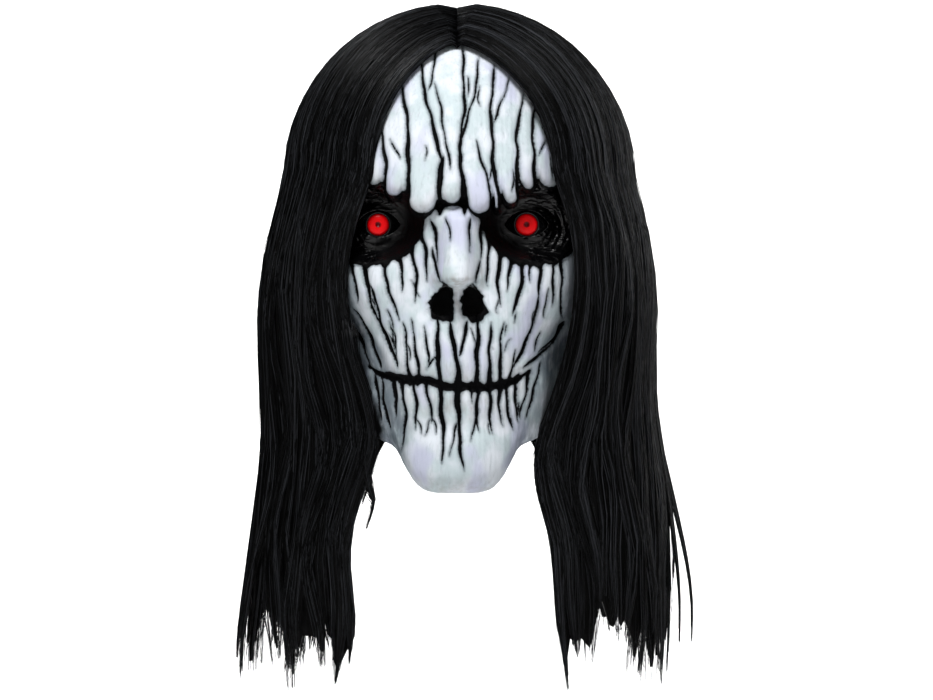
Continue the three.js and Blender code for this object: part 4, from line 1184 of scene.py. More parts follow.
class Nodes:
    """A node tree under construction: its nodes are added one at a time by one small function."""

    def __init__(self, tree: bpy.types.NodeTree) -> None:
        """Starts with an empty tree."""
        self.tree = tree
        tree.nodes.clear()

    def add(self, kind: str, settings: dict[str, Any] | None = None, **inputs: Any) -> bpy.types.Node:
        """Adds a node with its settings and links.

        Args:
            kind: Blender's name of the node, after its common start.
            settings: its own properties.
            inputs: what its inputs get, as for fill.

        Returns:
            The node.
        """
        node = self.tree.nodes.new("ShaderNode" + kind)
        for name, value in (settings or {}).items():
            setattr(node, name, value)
        self.fill(node, **inputs)
        return node

    def fill(self, node: bpy.types.Node, **inputs: Any) -> None:
        """Sets or links inputs of a node.

        Args:
            node: the node.
            inputs: a value or an output for each, by name with spaces as underscores, or i0, i1 by number.
        """
        for name, value in inputs.items():
            numbered = name[0] == "i" and name[1:].isdigit()
            socket = node.inputs[int(name[1:]) if numbered else name.replace("_", " ")]
            if isinstance(value, Socket):
                self.tree.links.new(value, socket)
            else:
                socket.default_value = value

    def sum_of(self, operation: str, a: Any, b: Any = 0.0, c: Any = 0.0) -> Socket:
        """The output of one sum."""
        return self.add("Math", {"operation": operation}, i0=a, i1=b, i2=c).outputs[0]

    def plus(self, a: Any, b: Any) -> Socket:
        """Two values added."""
        return self.sum_of("ADD", a, b)

    def times(self, a: Any, b: Any) -> Socket:
        """Two values multiplied."""
        return self.sum_of("MULTIPLY", a, b)

    def step(self, value: Any, low: float, high: float) -> Socket:
        """A smooth step of a value from 0 at low to 1 at high."""
        settings = {"interpolation_type": "SMOOTHSTEP"}
        return self.add("MapRange", settings, Value=value, From_Min=low, From_Max=high).outputs[0]

    def blend(self, share: Any, a: Any, b: Any) -> Socket:
        """A colour between two, by a share."""
        return self.add("Mix", {"data_type": "RGBA"}, i0=share, i6=a, i7=b).outputs[2]


class Finish(Nodes):
    """A material under construction."""

    def __init__(self, name: str) -> None:
        """Starts a material with only an output and a shader.

        Args:
            name: the material's name.
        """
        self.material = bpy.data.materials.new(name)
        self.material.use_nodes = True
        super().__init__(self.material.node_tree)
        self.shader = self.add("BsdfPrincipled")
        self.add("OutputMaterial", Surface=self.shader.outputs[0])

    def set(self, **inputs: Any) -> None:
        """Sets or links inputs of the shader."""
        self.fill(self.shader, **inputs)

    def mark(self, name: str) -> Socket:
        """The output that reads a mark of the mesh."""
        return self.add("Attribute", {"attribute_name": name}).outputs["Fac"]

    def noise(
        self, size_mm: float, detail: float = 3.0, stretch: Triple = (1, 1, 1)
    ) -> Socket:
        """Noise in the object's own space.

        Args:
            size_mm: size of its main spots.
            detail: how many finer layers it has.
            stretch: makes it finer along an axis where it is above 1.

        Returns:
            The output, from 0 to 1.
        """
        place = self.add("TexCoord").outputs["Object"]
        scaled = self.add("Mapping", Vector=place, Scale=stretch).outputs[0]
        inputs = {"Vector": scaled, "Scale": 1 / (size_mm * MM), "Detail": detail, "Roughness": 0.55}
        return self.add("TexNoise", **inputs).outputs["Fac"]

    def drift(self, size_mm: float, detail: float, spread: float) -> Socket:
        """Noise round 0, as wide as its spread."""
        return self.times(self.sum_of("SUBTRACT", self.noise(size_mm, detail), 0.5), spread)

    def bump(self, height: Any, distance_mm: float, strength: float = 1.0, under: Any = None) -> Socket:
        """The normals of a small relief.

        Args:
            height: the relief, from 0 to 1.
            distance_mm: how high it is at 1.
            strength: how much of it shows.
            under: the normals that it goes over.

        Returns:
            The normals.
        """
        inputs = {"Height": height, "Distance": distance_mm * MM, "Strength": strength}
        if under is not None:
            inputs["Normal"] = under
        return self.add("Bump", **inputs).outputs[0]


@dataclass(frozen=True)
class PaintedLatex:
    """Natural rubber latex cast in a plaster mould and pigmented black, with bone white sprayed over it.

    The white is chalky and slightly cloudy, with cool tints, and grey washes paint shade round the furrows,
    under the lobes, the nose and the chin, in hollows and on the sides. The black left in the furrows is
    dull, and a satin varnish makes the sockets shine.
    """

    white: str = "#e7edf4"
    green_tint: str = "#cfdde1"
    lilac_tint: str = "#d2d6ea"
    brush_and_shade_grey: str = "#a3adb3"
    warm_shade_grey: str = "#8d857d"
    cold_shade_grey: str = "#46535e"
    furrow_shade: str = "#5d676e"
    black: str = "#020203"
    ior: float = 1.52
    edge_mm: float = 0.25
    matt: float = 0.6
    satin: float = 0.27
    black_shine: float = 0.05
    white_shine: float = 0.2
    varnish_shine: float = 0.3
    wrinkle_mm: float = 0.5

    def make(self) -> Material:
        """Builds the material.

        Returns:
            The material.
        """
        f = Finish("cast_latex_painted_bone_white")
        edge = f.plus(f.mark("ink"), f.plus(f.drift(2.2, 4, 0.9), f.drift(0.9, 2, 0.5)))
        black = f.step(edge, -self.edge_mm, self.edge_mm)
        # Unpainted black latex, which at the sides of the face also stands in for shade.
        black = f.sum_of("MAXIMUM", black, f.step(f.plus(f.mark("bare_and_shade"), f.drift(5, 4, 0.5)), 0.25, 0.85))
        layers = (  # what goes over the white: how strong, where, and its colour
            (1.0, f.step(f.noise(16, 3), 0.42, 0.62), self.green_tint),
            (1.0, f.step(f.noise(23, 2, (1.0, 1.0, 0.7)), 0.5, 0.68), self.lilac_tint),
            (0.35, f.step(f.noise(1.6, 4, (1.0, 1.0, 0.16)), 0.5, 0.78), self.brush_and_shade_grey),
            # Painted brownish grey shade under the lobes, the teeth, the nose and the chin.
            (0.8, f.times(f.mark("warm_shade"), f.step(f.noise(3.5, 4, (1, 1, 0.5)), 0.2, 0.75)), self.warm_shade_grey),
            # Painted bluish grey shade in the hollows and on the sides of the face.
            (0.9, f.times(f.mark("cold_shade"), f.step(f.noise(4.5, 4, (1, 1, 0.4)), 0.0, 0.6)), self.cold_shade_grey),
            # Painted shade round the furrows: a wide soft grey band and a darker rim at their edges.
            (0.22, f.step(edge, -3.2, -0.6), self.brush_and_shade_grey),
            (0.65, f.step(edge, -1.4, 0.1), self.furrow_shade),
            (1.0, black, self.black),
        )
        colour: Any = linear(self.white)
        for strength, where, paint in layers:
            colour = f.blend(f.times(where, strength), colour, linear(paint))
        gloss = f.mark("gloss")
        roughness = f.add("MapRange", Value=gloss, To_Min=self.matt, To_Max=self.satin)
        pores = f.bump(f.noise(0.7, 3), 0.08)
        strokes = f.bump(f.noise(1.3, 3, (1.0, 1.0, 0.12)), 0.12, 0.8, pores)
        wrinkled = f.times(f.step(f.noise(3.8, 1, (0.4, 1.0, 1.3)), 0.42, 0.62), gloss)
        wrinkles = f.bump(wrinkled, self.wrinkle_mm, 1.0, strokes)
        shine = f.sum_of("MULTIPLY_ADD", gloss, self.varnish_shine, self.black_shine)
        shine = f.plus(shine, f.times(f.sum_of("SUBTRACT", 1.0, black), self.white_shine))
        f.set(Base_Color=colour, Roughness=roughness.outputs[0], Normal=wrinkles, IOR=self.ior)
        f.set(Specular_IOR_Level=shine)
        return f.material


@dataclass(frozen=True)
class BareLatex:
    """The inside of the casting: the same black-pigmented latex without paint, dull and slightly pitted."""

    black: str = "#0b0b0c"
    grey: str = "#17171a"
    ior: float = 1.52

    def make(self) -> Material:
        """Builds the material.

        Returns:
            The material.
        """
        f = Finish("bare_black_latex_inside")
        colour = f.blend(f.step(f.noise(14, 4), 0.35, 0.7), linear(self.black), linear(self.grey))
        f.set(Base_Color=colour, Roughness=0.7, IOR=self.ior, Normal=f.bump(f.noise(1.6, 4), 0.25))
        return f.material


@dataclass(frozen=True)
class BlackEyeball:
    """Vacuum-formed acrylic, painted black behind: a wet, mirror-like gloss with the faintest orange peel."""

    black: str = "#040405"
    grey: str = "#0a0a0c"
    ior: float = 1.49

    def make(self) -> Material:
        """Builds the material.

        Returns:
            The material.
        """
        f = Finish("vacuum_formed_black_acrylic")
        colour = f.blend(f.step(f.noise(6, 2), 0.4, 0.7), linear(self.black), linear(self.grey))
        f.set(Base_Color=colour, Roughness=0.07, IOR=self.ior, Coat_Weight=0.6, Coat_Roughness=0.04)
        f.set(Normal=f.bump(f.noise(2.5, 1), 0.02))
        return f.material


@dataclass(frozen=True)
class RedIris:
    """Cast polyester resin, dyed through: a saturated red, darker in the pupil, with a faint painted glow."""

    red: str = "#ff0812"
    rim: str = "#cc0009"
    pupil: str = "#5c0006"
    ior: float = 1.55
    rim_mm: Pair = (4.3, 6.0)
    pupil_mm: Pair = (2.2, 1.0)
    speckle_mm: float = 0.9

    def make(self, centre: Array) -> Material:
        """Builds the material.

        Args:
            centre: the middle of the iris.

        Returns:
            The material, with its pupil there.
        """
        f = Finish("cast_red_resin")
        place = f.add("TexCoord").outputs["Object"]
        middle = tuple(float(v) * MM for v in centre)
        flat = f.add("VectorMath", {"operation": "SUBTRACT"}, i0=place, i1=middle).outputs[0]
        level = f.add("VectorMath", {"operation": "MULTIPLY"}, i0=flat, i1=(1.0, 0.0, 1.0))
        radius = f.add("VectorMath", {"operation": "LENGTH"}, i0=level.outputs[0]).outputs["Value"]
        radius = f.plus(radius, f.drift(1.1, 3, self.speckle_mm * MM))
        colour: Any = linear(self.red)
        for (start, end), shade in ((self.rim_mm, self.rim), (self.pupil_mm, self.pupil)):
            colour = f.blend(f.step(radius, start * MM, end * MM), colour, linear(shade))
        f.set(Base_Color=colour, Roughness=0.28, IOR=self.ior, Specular_IOR_Level=0.15)
        # A faint painted glow: the iris gives off its own colour, though it is no lamp.
        f.set(Emission_Color=colour, Emission_Strength=0.03)
        return f.material


@dataclass(frozen=True)
class WigFibre:
    """Black modacrylic wig fibre, extruded smooth: nearly black, with painted grey highlights in some strands
    and streaks.

    Real fibre is 0.07 mm thick; it is drawn about seven times as coarse so that single strands show.
    """

    black: str = "#020202"
    sheen: str = "#36383c"
    ior: float = 1.54
    roughness: float = 0.36

    def make(self, name: str) -> Material:
        """Builds the finish of the strands, each with its own share of painted grey highlight.

        Args:
            name: the material's name.

        Returns:
            The material.
        """
        f = Finish(name)
        colour = f.blend(f.mark("tone"), linear(self.black), linear(self.sheen))
        f.set(Base_Color=colour, Roughness=self.roughness, IOR=self.ior, Specular_IOR_Level=0.095)
        return f.material

    def make_mass(self) -> Material:
        """Builds the finish of the mass under the strands, with fibres drawn out the way that hair falls.

        Returns:
            The material.
        """
        f = Finish("modacrylic_wig_fibre_mass")
        run = f.times(f.mark("along"), 0.012)
        place = f.add("CombineXYZ", X=f.mark("across"), Y=run).outputs[0]
        fibres = f.add("TexNoise", Vector=place, Scale=1.6, Detail=4.0).outputs["Fac"]
        bands = f.add("TexNoise", Vector=place, Scale=0.25, Detail=2.0).outputs["Fac"]
        # Painted highlight: lighter grey streaks along the fibres of the mass.
        share = f.times(f.times(f.step(fibres, 0.4, 0.75), f.step(bands, 0.35, 0.7)), 0.12)
        colour = f.blend(share, linear(self.black), linear(self.sheen))
        f.set(Base_Color=colour, Roughness=0.5, IOR=self.ior, Specular_IOR_Level=0.07)
        f.set(Normal=f.bump(fibres, 0.35))
        return f.material


# The eyes.


@dataclass
class Eyes:
    """The two eyeballs and irises, which take the place of their solids."""

    form: HeadForm

    def build(self) -> None:
        """Makes the eyeballs and irises and dresses them."""
        gloss = BlackEyeball().make()
        for side in Side:
            ball = EyeShape(self.form, side)
            for piece, node, slot, finish in (
                (ball.eyeball(), f"eyeball_{side.word}", "eyeball_gloss", gloss),
                (ball.iris(), f"iris_{side.word}", "iris_resin", RedIris().make(self.form.eye_centre(side))),
            ):
                piece.data.materials.append(finish)
                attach(piece, "root")
                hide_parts(node)
                LOG.info("made %s with %d faces", piece.name, len(piece.data.polygons))


@dataclass
class EyeShape:
    """The turned shapes of one eye."""

    form: HeadForm
    side: Side
    iris_radius: float = 6.0
    fit: float = 0.3
    shell: float = 2.0
    depth: float = 11.0
    bulge: float = 0.8
    step: float = 0.2
    turns: int = 64
    # Radius and depth of the points of the dimple.
    pupil: tuple[Pair, ...] = ((0.0, 0.75), (0.6, 0.62), (1.1, 0.22), (1.6, 0.04))

    def turned(self, name: str, profile: Sequence[Pair]) -> Piece:
        """A closed shape turned round the line of sight.

        Args:
            name: the piece's name.
            profile: radius and distance forwards of each point, round the outside and back.

        Returns:
            The piece.
        """
        centre = self.form.eye_centre(self.side)
        points: list[list[float]] = []
        rings: list[list[int]] = []
        for radius, forward in profile:
            if radius < 1e-6:
                rings.append([len(points)] * self.turns)
                points.append([centre[0], centre[1] - forward, centre[2]])
                continue
            ring = []
            for i in range(self.turns):
                turn = 2 * math.pi * i / self.turns
                ring.append(len(points))
                across, up = radius * math.cos(turn), radius * math.sin(turn)
                points.append([centre[0] + across, centre[1] - forward, centre[2] + up])
            rings.append(ring)
        faces = []
        closed = profile[0][0] > 1e-6
        pairs = list(zip(rings, rings[1:])) + ([(rings[-1], rings[0])] if closed else [])
        for first, second in pairs:
            for i in range(self.turns):
                j = (i + 1) % self.turns
                corners = [first[i], first[j], second[j], second[i]]
                face = [c for k, c in enumerate(corners) if c not in corners[:k]]
                if len(face) > 2:
                    faces.append(face)
        return make_mesh(name, np.array(points), faces)

    def eyeball(self) -> Piece:
        """The hollow eyeball with the hole for its iris.

        Returns:
            The piece.
        """
        outer = self.form.eye_radius
        inner = outer - self.shell
        hole = self.iris_radius + self.fit
        rim = math.acos((outer - self.depth) / outer)
        outside = np.linspace(math.asin(hole / outer), rim, 18)
        inside = np.linspace(rim, math.asin(hole / inner), 12)
        profile = [(outer * math.sin(t), outer * math.cos(t)) for t in outside]
        profile += [(inner * math.sin(t), inner * math.cos(t)) for t in inside]
        return self.turned(f"eyeball_{self.side.word}_gloss", profile[::-1])

    def iris(self) -> Piece:
        """The iris button with the dimple of its pupil.

        Returns:
            The piece.
        """
        edge = math.sqrt(self.form.eye_radius**2 - self.iris_radius**2)
        top = self.form.eye_radius + self.bulge
        foot = edge + self.step
        profile = [(radius, top - depth) for radius, depth in self.pupil]
        for t in np.linspace(0.3, 0.97, 9):
            profile.append((self.iris_radius * t, foot + (top - foot) * math.sqrt(1 - t**2.6)))
        back = edge - self.shell
        profile += [(self.iris_radius, edge), (self.iris_radius, back), (0.0, back)]
        return self.turned(f"iris_{self.side.word}_resin", profile[::-1])


# The hair.


@dataclass(frozen=True)
class Lock:
    """One lock: where it starts and ends round its side, where it comes free, its tip and its swing."""

    start: float
    end: float
    free: float
    tip: float
    swing: float


@dataclass
class HairForm:
    """The outermost surface of one side of the hair, as the solids have it."""

    head: HeadForm
    side: Side
    top: float = 10.5
    thickness: float = 16.0
    edge: float = 3.5
    dip: float = 2.4
    gap: float = 0.2
    parting: Pair = (47.5, 150.0)
    parting_depth: Pair = (101.0, 108.0)

    heights: Row = (85, 111, 134, 157, 185, 212, 236, 262, 291, 319, 347, 380)
    out_left: Row = (99, 106, 111, 114, 114, 113, 112, 115, 119, 123, 126.5, 127)
    out_right: Row = (101, 108, 112, 114, 113, 113, 116, 120, 122, 122.5, 122, 121)
    edge_left: Row = (46, 55, 60, 61, 56, 47, 43, 51.5, 60, 58, 55, 55)
    edge_right: Row = (53, 62, 65, 65, 60, 52, 43, 44, 52, 54, 55, 57)
    edge_y: Row = (-93, -86, -77, -70, -66, -64, -62, -60, -58, -56, -55, -54)
    back_x: Row = (1, 1, 1.5, 3, 12, 26, 42, 55, 62, 64, 66, 67)
    back_y: Row = (110, 108, 103, 97, 89, 79, 69, 60, 52, 47, 43, 40)

    def locks(self) -> list[Lock]:
        """The locks of the side, from the front edge to the back.

        Returns:
            One for each lock.
        """
        left = (  # end round the side, levels where it comes free and of its tip, and swing
            (0.1, -348, -371, 0.012), (0.21, -338, -376, -0.01), (0.31, -306, -366, -0.04),
            (0.5, -306, -371, 0.06), (0.69, -306, -369, -0.06), (0.78, -306, -368, 0.05),
            (0.88, -340, -374, 0.01), (1.0, -340, -360, -0.01),
        )
        right = (
            (0.11, -344, -374, 0.008), (0.2, -338, -349, 0), (0.33, -334, -368, 0), (0.45, -328, -374, -0.01),
            (0.56, -330, -370, -0.01), (0.68, -336, -366, 0), (0.81, -334, -372, -0.01),
            (0.91, -338, -349, 0), (1.0, -342, -366, 0),
        )
        rows = left if self.side is Side.LEFT else right
        starts = [0.0] + [row[0] for row in rows]
        return [Lock(starts[i], *row) for i, row in enumerate(rows)]

    def sway(self, share: Array, level: Array) -> Array:
        """How far the hair winds round its side, which neighbouring hair does alike."""
        wave = 0.013 * np.sin(share * 33 + level * 0.046 + self.side.value)
        wave = wave + 0.007 * np.sin(share * 57 - level * 0.087)
        return wave * ease((self.head.widest + 30 - level) / 90) * ease(np.minimum(share, 1 - share) / 0.1)

    def curtain(self, share: Array, z: Array) -> Array:
        """Points of the curtain.

        Args:
            share: shares round the side, from the front edge to the back.
            z: levels.

        Returns:
            The points.
        """
        out = self.out_left if self.side is Side.LEFT else self.out_right
        edge = self.edge_left if self.side is Side.LEFT else self.edge_right
        wide, near = through(self.heights, out, -z), through(self.heights, edge, -z)
        share = np.clip(share, 0, 1)
        front = share < 0.5
        turn = np.pi * np.where(front, share, share - 0.5)
        back_x, back_y = through(self.heights, self.back_x, -z), through(self.heights, self.back_y, -z)
        x = np.where(front, mix(near, wide, np.sin(turn)), mix(back_x, wide, np.cos(turn)))
        y = np.where(front, through(self.heights, self.edge_y, -z) * np.cos(turn), back_y * np.sin(turn))
        return np.stack([self.side.value * x, y, z + 0 * x], axis=-1)

    def dome(self, share: Array, turn: Array) -> Array:
        """Points over the dome.

        Args:
            share: shares round the side.
            turn: degrees from the parting down.

        Returns:
            The points.
        """
        share = np.clip(share, 0, 1)
        angle = np.radians(mix(self.parting[0], self.parting[1], share))
        depth = np.where(np.cos(angle) > 0, self.parting_depth[0], self.parting_depth[1])
        rise = self.top + self.head.dome_height
        x = np.full(share.shape, self.side.value * self.gap / 2)
        start = np.stack([x, -depth * np.cos(angle), self.head.widest + rise * np.sin(angle)], axis=-1)
        end = self.curtain(share, np.full(np.shape(share), self.head.widest))
        bow = mix(1.35, 1.0, np.clip(share / 0.25, 0, 1))
        across = (np.sin(np.radians(turn)) ** bow)[..., None]
        down = (1 - np.cos(np.radians(turn)))[..., None]
        point = mix(start, end, across)
        point[..., 2] = mix(start[..., 2], end[..., 2], down[..., 0])
        return point

    def surface(self, share: Array, way: Array, tip: Array | float) -> Array:
        """Points along the hair.

        Args:
            share: shares round the side.
            way: 0 at the parting, 1 at the widest level, 2 at the tip.
            tip: level of the tip.

        Returns:
            The points.
        """
        share, way = np.broadcast_arrays(share, way)
        over = self.dome(share, np.clip(way, 0, 1) * 90)
        z = mix(self.head.widest, tip, np.clip(way - 1, 0, 1))
        return np.where((way < 1)[..., None], over, self.curtain(share, z))

    def outwards(self, share: Array, way: Array, tip: Array | float) -> Array:
        """Outward directions along the hair.

        Args:
            share: shares round the side.
            way: 0 at the parting, 1 at the widest level, 2 at the tip.
            tip: level of the tip.

        Returns:
            The directions.
        """
        before, after = np.clip(share - 0.01, 0, 1), np.clip(share + 0.01, 0, 1)
        along = self.surface(after, way, tip) - self.surface(before, way, tip)
        along[..., 2] = 0
        along = unit(along)
        level = self.side.value * np.stack([along[..., 1], -along[..., 0], 0 * along[..., 0]], axis=-1)
        centre = np.array([0.0, 0.0, self.head.widest])
        radial = unit(self.surface(share, way, tip) - centre)
        turn = ease((way - 0.75) / 0.35)[..., None]
        return unit(mix(radial, level, turn))

    def clear(self, points: Array, gap: float) -> Array:
        """Moves points out of the head.

        Args:
            points: the points.
            gap: their least distance to the head.

        Returns:
            The moved points.
        """
        head = self.head
        out = points.copy()
        x, y, z = out[..., 0], out[..., 1], out[..., 2]
        half, front, back, square = head.sizes(np.minimum(z, head.widest))
        above = z > head.widest
        depth = np.where(y < 0, head.front_depth, head.back_depth)
        rise = z - head.widest
        across, up = x / (head.half_width + gap), rise / (head.dome_height + gap)
        size = np.sqrt(across**2 + (y / (depth + gap)) ** 2 + up**2)
        scale = np.where(above & (size < 1), 1 / np.maximum(size, 1e-3), 1.0)
        side_depth = np.where(y < 0, front, back) + gap
        power = np.where(y < 0, square, 2.0)
        flat = (np.abs(x / (half + gap)) ** power + np.abs(y / side_depth) ** power) ** (1 / power)
        chin = head.rim(np.zeros(1))[0]
        below = ~above & (z > chin - 2) & (flat < 1)
        scale = np.where(below, 1 / np.maximum(flat, 1e-3), scale)
        out[..., 0], out[..., 1] = x * scale, y * scale
        out[..., 2] = np.where(above, head.widest + rise * scale, z)
        x, y, z = out[..., 0], out[..., 1], out[..., 2]
        in_face = (y < 0) & (np.abs(x) < 0.93 * head.sizes(z)[0]) & (z > chin)
        face = head.face_y(x, np.minimum(z, head.top - 0.01)) - gap
        out[..., 1] = np.where(in_face, np.minimum(y, face), y)
        return out


@dataclass(frozen=True)
class Wisp:
    """A thin lock: where round the side and at which level it leaves, its tip, its drift and its strands."""

    share: float
    leave: float
    tip: float
    drift: float
    count: int


@dataclass(frozen=True)
class Tuft:
    """A tuft of a lock: its place, the levels where both its sides come free, its tip and its swing."""

    start: float
    end: float
    free: Pair
    tip: float
    swing: float


@dataclass
class HairSide:
    """One side of the hair: the dark mass on the shell and the strands over it."""

    form: HairForm
    strands: int = 1700
    steps: int = 16
    radius: float = 0.25
    lock_tufts: int = 3
    mass_columns: int = 170
    crown_rows: int = 26
    curtain_rows: int = 37
    fibre_lines: float = 260.0
    point: float = 9.0
    fray: float = 4.5
    head_gap: float = 0.9
    stray_share: float = 0.025
    stray_height: Pair = (0.5, 2.4)
    seed: int = 11

    def wisps(self) -> list[Wisp]:
        """The thin locks that leave this side."""
        left = ((0.015, -262, -284, -11, 60), (0.02, -258, -271, -5, 25))
        right = ((0.5, -250, -352, 12.5, 75), (0.46, -262, -352, 5.5, 60), (0.52, -262, -318, 2, 40))
        return [Wisp(*row) for row in (left if self.form.side is Side.LEFT else right)]

    def tufts(self) -> list[Tuft]:
        """The tufts of all locks, from the front edge to the back.

        Returns:
            One for each tuft.
        """
        rng = np.random.default_rng(self.seed * 3 + self.form.side.value)
        out = []
        for lock in self.form.locks():
            count = self.lock_tufts
            wide = (lock.end - lock.start) / count
            cuts = np.linspace(lock.start, lock.end, count + 1)
            cuts[1:-1] += rng.uniform(-0.25, 0.25, count - 1) * wide
            tips = lock.tip + rng.uniform(3, 26, count)
            tips[rng.integers(0, count)] = lock.tip
            for i in range(count):
                inside = mix(lock.free, tips[i], rng.uniform(0.3, 0.6))
                free = (lock.free if i == 0 else inside, lock.free if i == count - 1 else inside)
                swing = lock.swing + rng.uniform(-0.006, 0.006)
                out.append(Tuft(float(cuts[i]), float(cuts[i + 1]), free, float(tips[i]), swing))
        return out

    def places(self, share: Array) -> tuple[Array, Array, Array, Array, Array, Array]:
        """Where shares lie in their tufts.

        Args:
            share: shares round the side.

        Returns:
            The middle of the tuft, its half width, the place across it from -1 to 1, the level where it comes
            free at that side, its tip and its swing.
        """
        tufts = self.tufts()
        number = np.clip(np.searchsorted([t.end for t in tufts], share), 0, len(tufts) - 1)
        table = np.array([(t.start, t.end, *t.free, t.tip, t.swing) for t in tufts])[number]
        start, end, free_start, free_end, tip, swing = np.moveaxis(table, -1, 0)
        middle, half = (start + end) / 2, (end - start) / 2
        across = np.clip((share - middle) / half, -1, 1)
        return middle, half, across, np.where(across < 0, free_start, free_end), tip, swing

    def thickness(self, share: Array) -> Array:
        """The thickness of the hair at shares round the side."""
        return mix(self.form.edge, self.form.thickness, ease(np.minimum(share, 1 - share) / 0.14))

    def crown_dip(self, way: Array) -> Array:
        """How far the hair sinks at the parting."""
        return self.form.dip * (1 - ease(way / 0.05))

    def gathered(self, share: Array, level: Array, strength: float) -> Array:
        """Shares drawn together towards the tips of their tufts, and swung and wound.

        Args:
            share: shares round the side.
            level: levels.
            strength: how tightly, up to 1.

        Returns:
            The shares.
        """
        places = self.places(share)
        if level.ndim > share.ndim:
            places = tuple(value[:, None] for value in places)
        middle, half, across, free, tip, swing = places
        fall = np.clip((free + 14 - level) / np.maximum(free + 14 - tip, 1), 0, 1)
        drawn = middle + across * half * (1 - strength * fall**1.3)
        return np.clip(drawn + swing * ease((free + 30 - level) / 60) + self.form.sway(middle, level), 0, 1)

    def mass(self) -> Piece:
        """The closed mass under the strands, grooved between its tufts and pointed at their tips.

        Returns:
            The piece, with the marks that its finish reads.
        """
        form = self.form
        share = np.linspace(0, 1, self.mass_columns)
        _, _, across, free, tips, _ = self.places(share)
        inner = 1 - np.abs(across)
        ends = np.minimum(mix(free + 4, tips + self.point, inner**0.75), free + 4)
        over, down = np.linspace(0, 1, self.crown_rows) ** 0.9, np.linspace(1, 2, self.curtain_rows)
        way = np.concatenate([over, down[1:]])
        s, w = np.meshgrid(share, way)
        tip = np.repeat(ends[None, :], len(way), axis=0)
        level = mix(form.head.widest, tip, np.clip(w - 1, 0, 1))
        moved = np.stack([self.gathered(share, row, 0.7) for row in level])
        base = form.surface(moved, w, tip)
        out = form.outwards(moved, w, tip)
        groove = 1.5 * (1 - np.sqrt(1 - across**2)) * ease(w / 0.4)
        base[..., 2] -= self.crown_dip(w)
        thin = 1 - 0.8 * ease((w - 1.75) / 0.25)
        thick = np.minimum(self.thickness(s) * 0.92, mix(3.0, 99.0, w))
        core = 0.4  # how far in the mass closes at its tips
        top_depth, back_depth = 1.0 + groove + thick * (1 - thin) * core, thick * (core + (1 - core) * thin)
        outer = form.clear(base - out * top_depth[..., None], 2.2)
        under = form.clear(base - out * np.maximum(back_depth, 2.4 + groove)[..., None], 1.0)
        side = form.side.value
        for grid in (outer, under):
            grid[..., 0] = side * np.maximum(side * grid[..., 0], form.gap / 2)
        rows, columns = s.shape
        number_out = np.arange(rows * columns).reshape(rows, columns)
        number_in = number_out + rows * columns
        faces: list[tuple[int, ...]] = []

        def band(a: Array, b: Array) -> None:
            """Adds the faces between two lines of points."""
            quads = np.stack([a[:-1], b[:-1], b[1:], a[1:]], axis=-1)
            faces.extend(tuple(q) for q in (quads if side > 0 else quads[:, ::-1]).tolist())

        for i in range(rows - 1):
            band(number_out[i], number_out[i + 1])
            band(number_in[i + 1], number_in[i])
        band(number_in[0], number_out[0])
        band(number_out[-1], number_in[-1])
        band(number_in[:, -1][::-1], number_out[:, -1][::-1])
        band(number_in[:, 0], number_out[:, 0])
        points = np.vstack([outer.reshape(-1, 3), under.reshape(-1, 3)])
        run = np.zeros((rows, columns))
        run[1:] = np.cumsum(np.linalg.norm(np.diff(outer, axis=0), axis=-1), axis=0)
        marks = {"across": np.tile((s * self.fibre_lines).ravel(), 2), "along": np.tile(run.ravel(), 2)}
        return make_mesh(f"hair_{self.form.side.word}_mass", points, faces, marks)

    def strand_points(self, rng: Picker, count: int, upper: bool) -> tuple[Array, Array]:
        """The middle lines of strands.

        Args:
            rng: what picks their places.
            count: how many.
            upper: over the dome, or down the curtain to the tips.

        Returns:
            The points by strand and step, and the radius there.
        """
        form = self.form
        share = rng.uniform(0.002, 0.998, count)
        at_edge = count // 8
        share[:at_edge] = rng.uniform(0.0, 0.05, at_edge)
        _, _, across, _, tip, _ = self.places(share)
        ends_at = tip + self.point * across**2 + rng.exponential(self.fray, count) - 1
        first = np.zeros(count) if upper else rng.uniform(0.55, 0.95, count)
        last = rng.uniform(1.05, 1.5, count) if upper else np.full(count, 2.0)
        t = np.linspace(0, 1, self.steps)[None, :]
        along = mix(first[:, None], last[:, None], t)
        level = mix(form.head.widest, ends_at[:, None], np.clip(along - 1, 0, 1))
        level = level + form.head.dome_height * (1 - np.clip(along, 0, 1))
        cross = rng.uniform(0.3, 1.6, (count, 1)) * 0.006
        wave = cross * np.sin(along * rng.uniform(1.5, 4, (count, 1)) + rng.uniform(0, 6.3, (count, 1)))
        wave += 0.4 * cross * np.sin(along * rng.uniform(6, 11, (count, 1)) + rng.uniform(0, 6.3, (count, 1)))
        near_tip = 1 - 0.8 * ease((along - 1.6) / 0.4)
        spread = np.clip(self.gathered(share, level, 0.9) + wave * ease(along / 0.5) * near_tip, 0, 1)
        tips = np.broadcast_to(ends_at[:, None], spread.shape)
        base = form.surface(spread, along, tips)
        out = form.outwards(spread, along, tips)
        base[..., 2] -= self.crown_dip(along)
        groove = 1.3 * np.abs(across[:, None]) ** 3 * ease(along / 0.4) * (1 - ease((along - 1.7) / 0.3))
        full = self.thickness(spread)
        top_depth = rng.uniform(-0.5, 1.2, (count, 1))
        loose = rng.uniform(0, 1, (count, 1)) < 0.6
        high, low = rng.uniform(0.0, 1.0, (count, 1)), rng.uniform(0.1, 0.85, (count, 1)) * full[:, -1:]
        deep = np.where(loose, high, low)
        depth = mix(top_depth, deep, ease((along - 1.55) / 0.4))
        depth = depth + 3.0 * (ease((t - 0.8) / 0.2) if upper else 1 - ease(t / 0.15))
        strays = rng.uniform(0, 1, (count, 1)) < self.stray_share
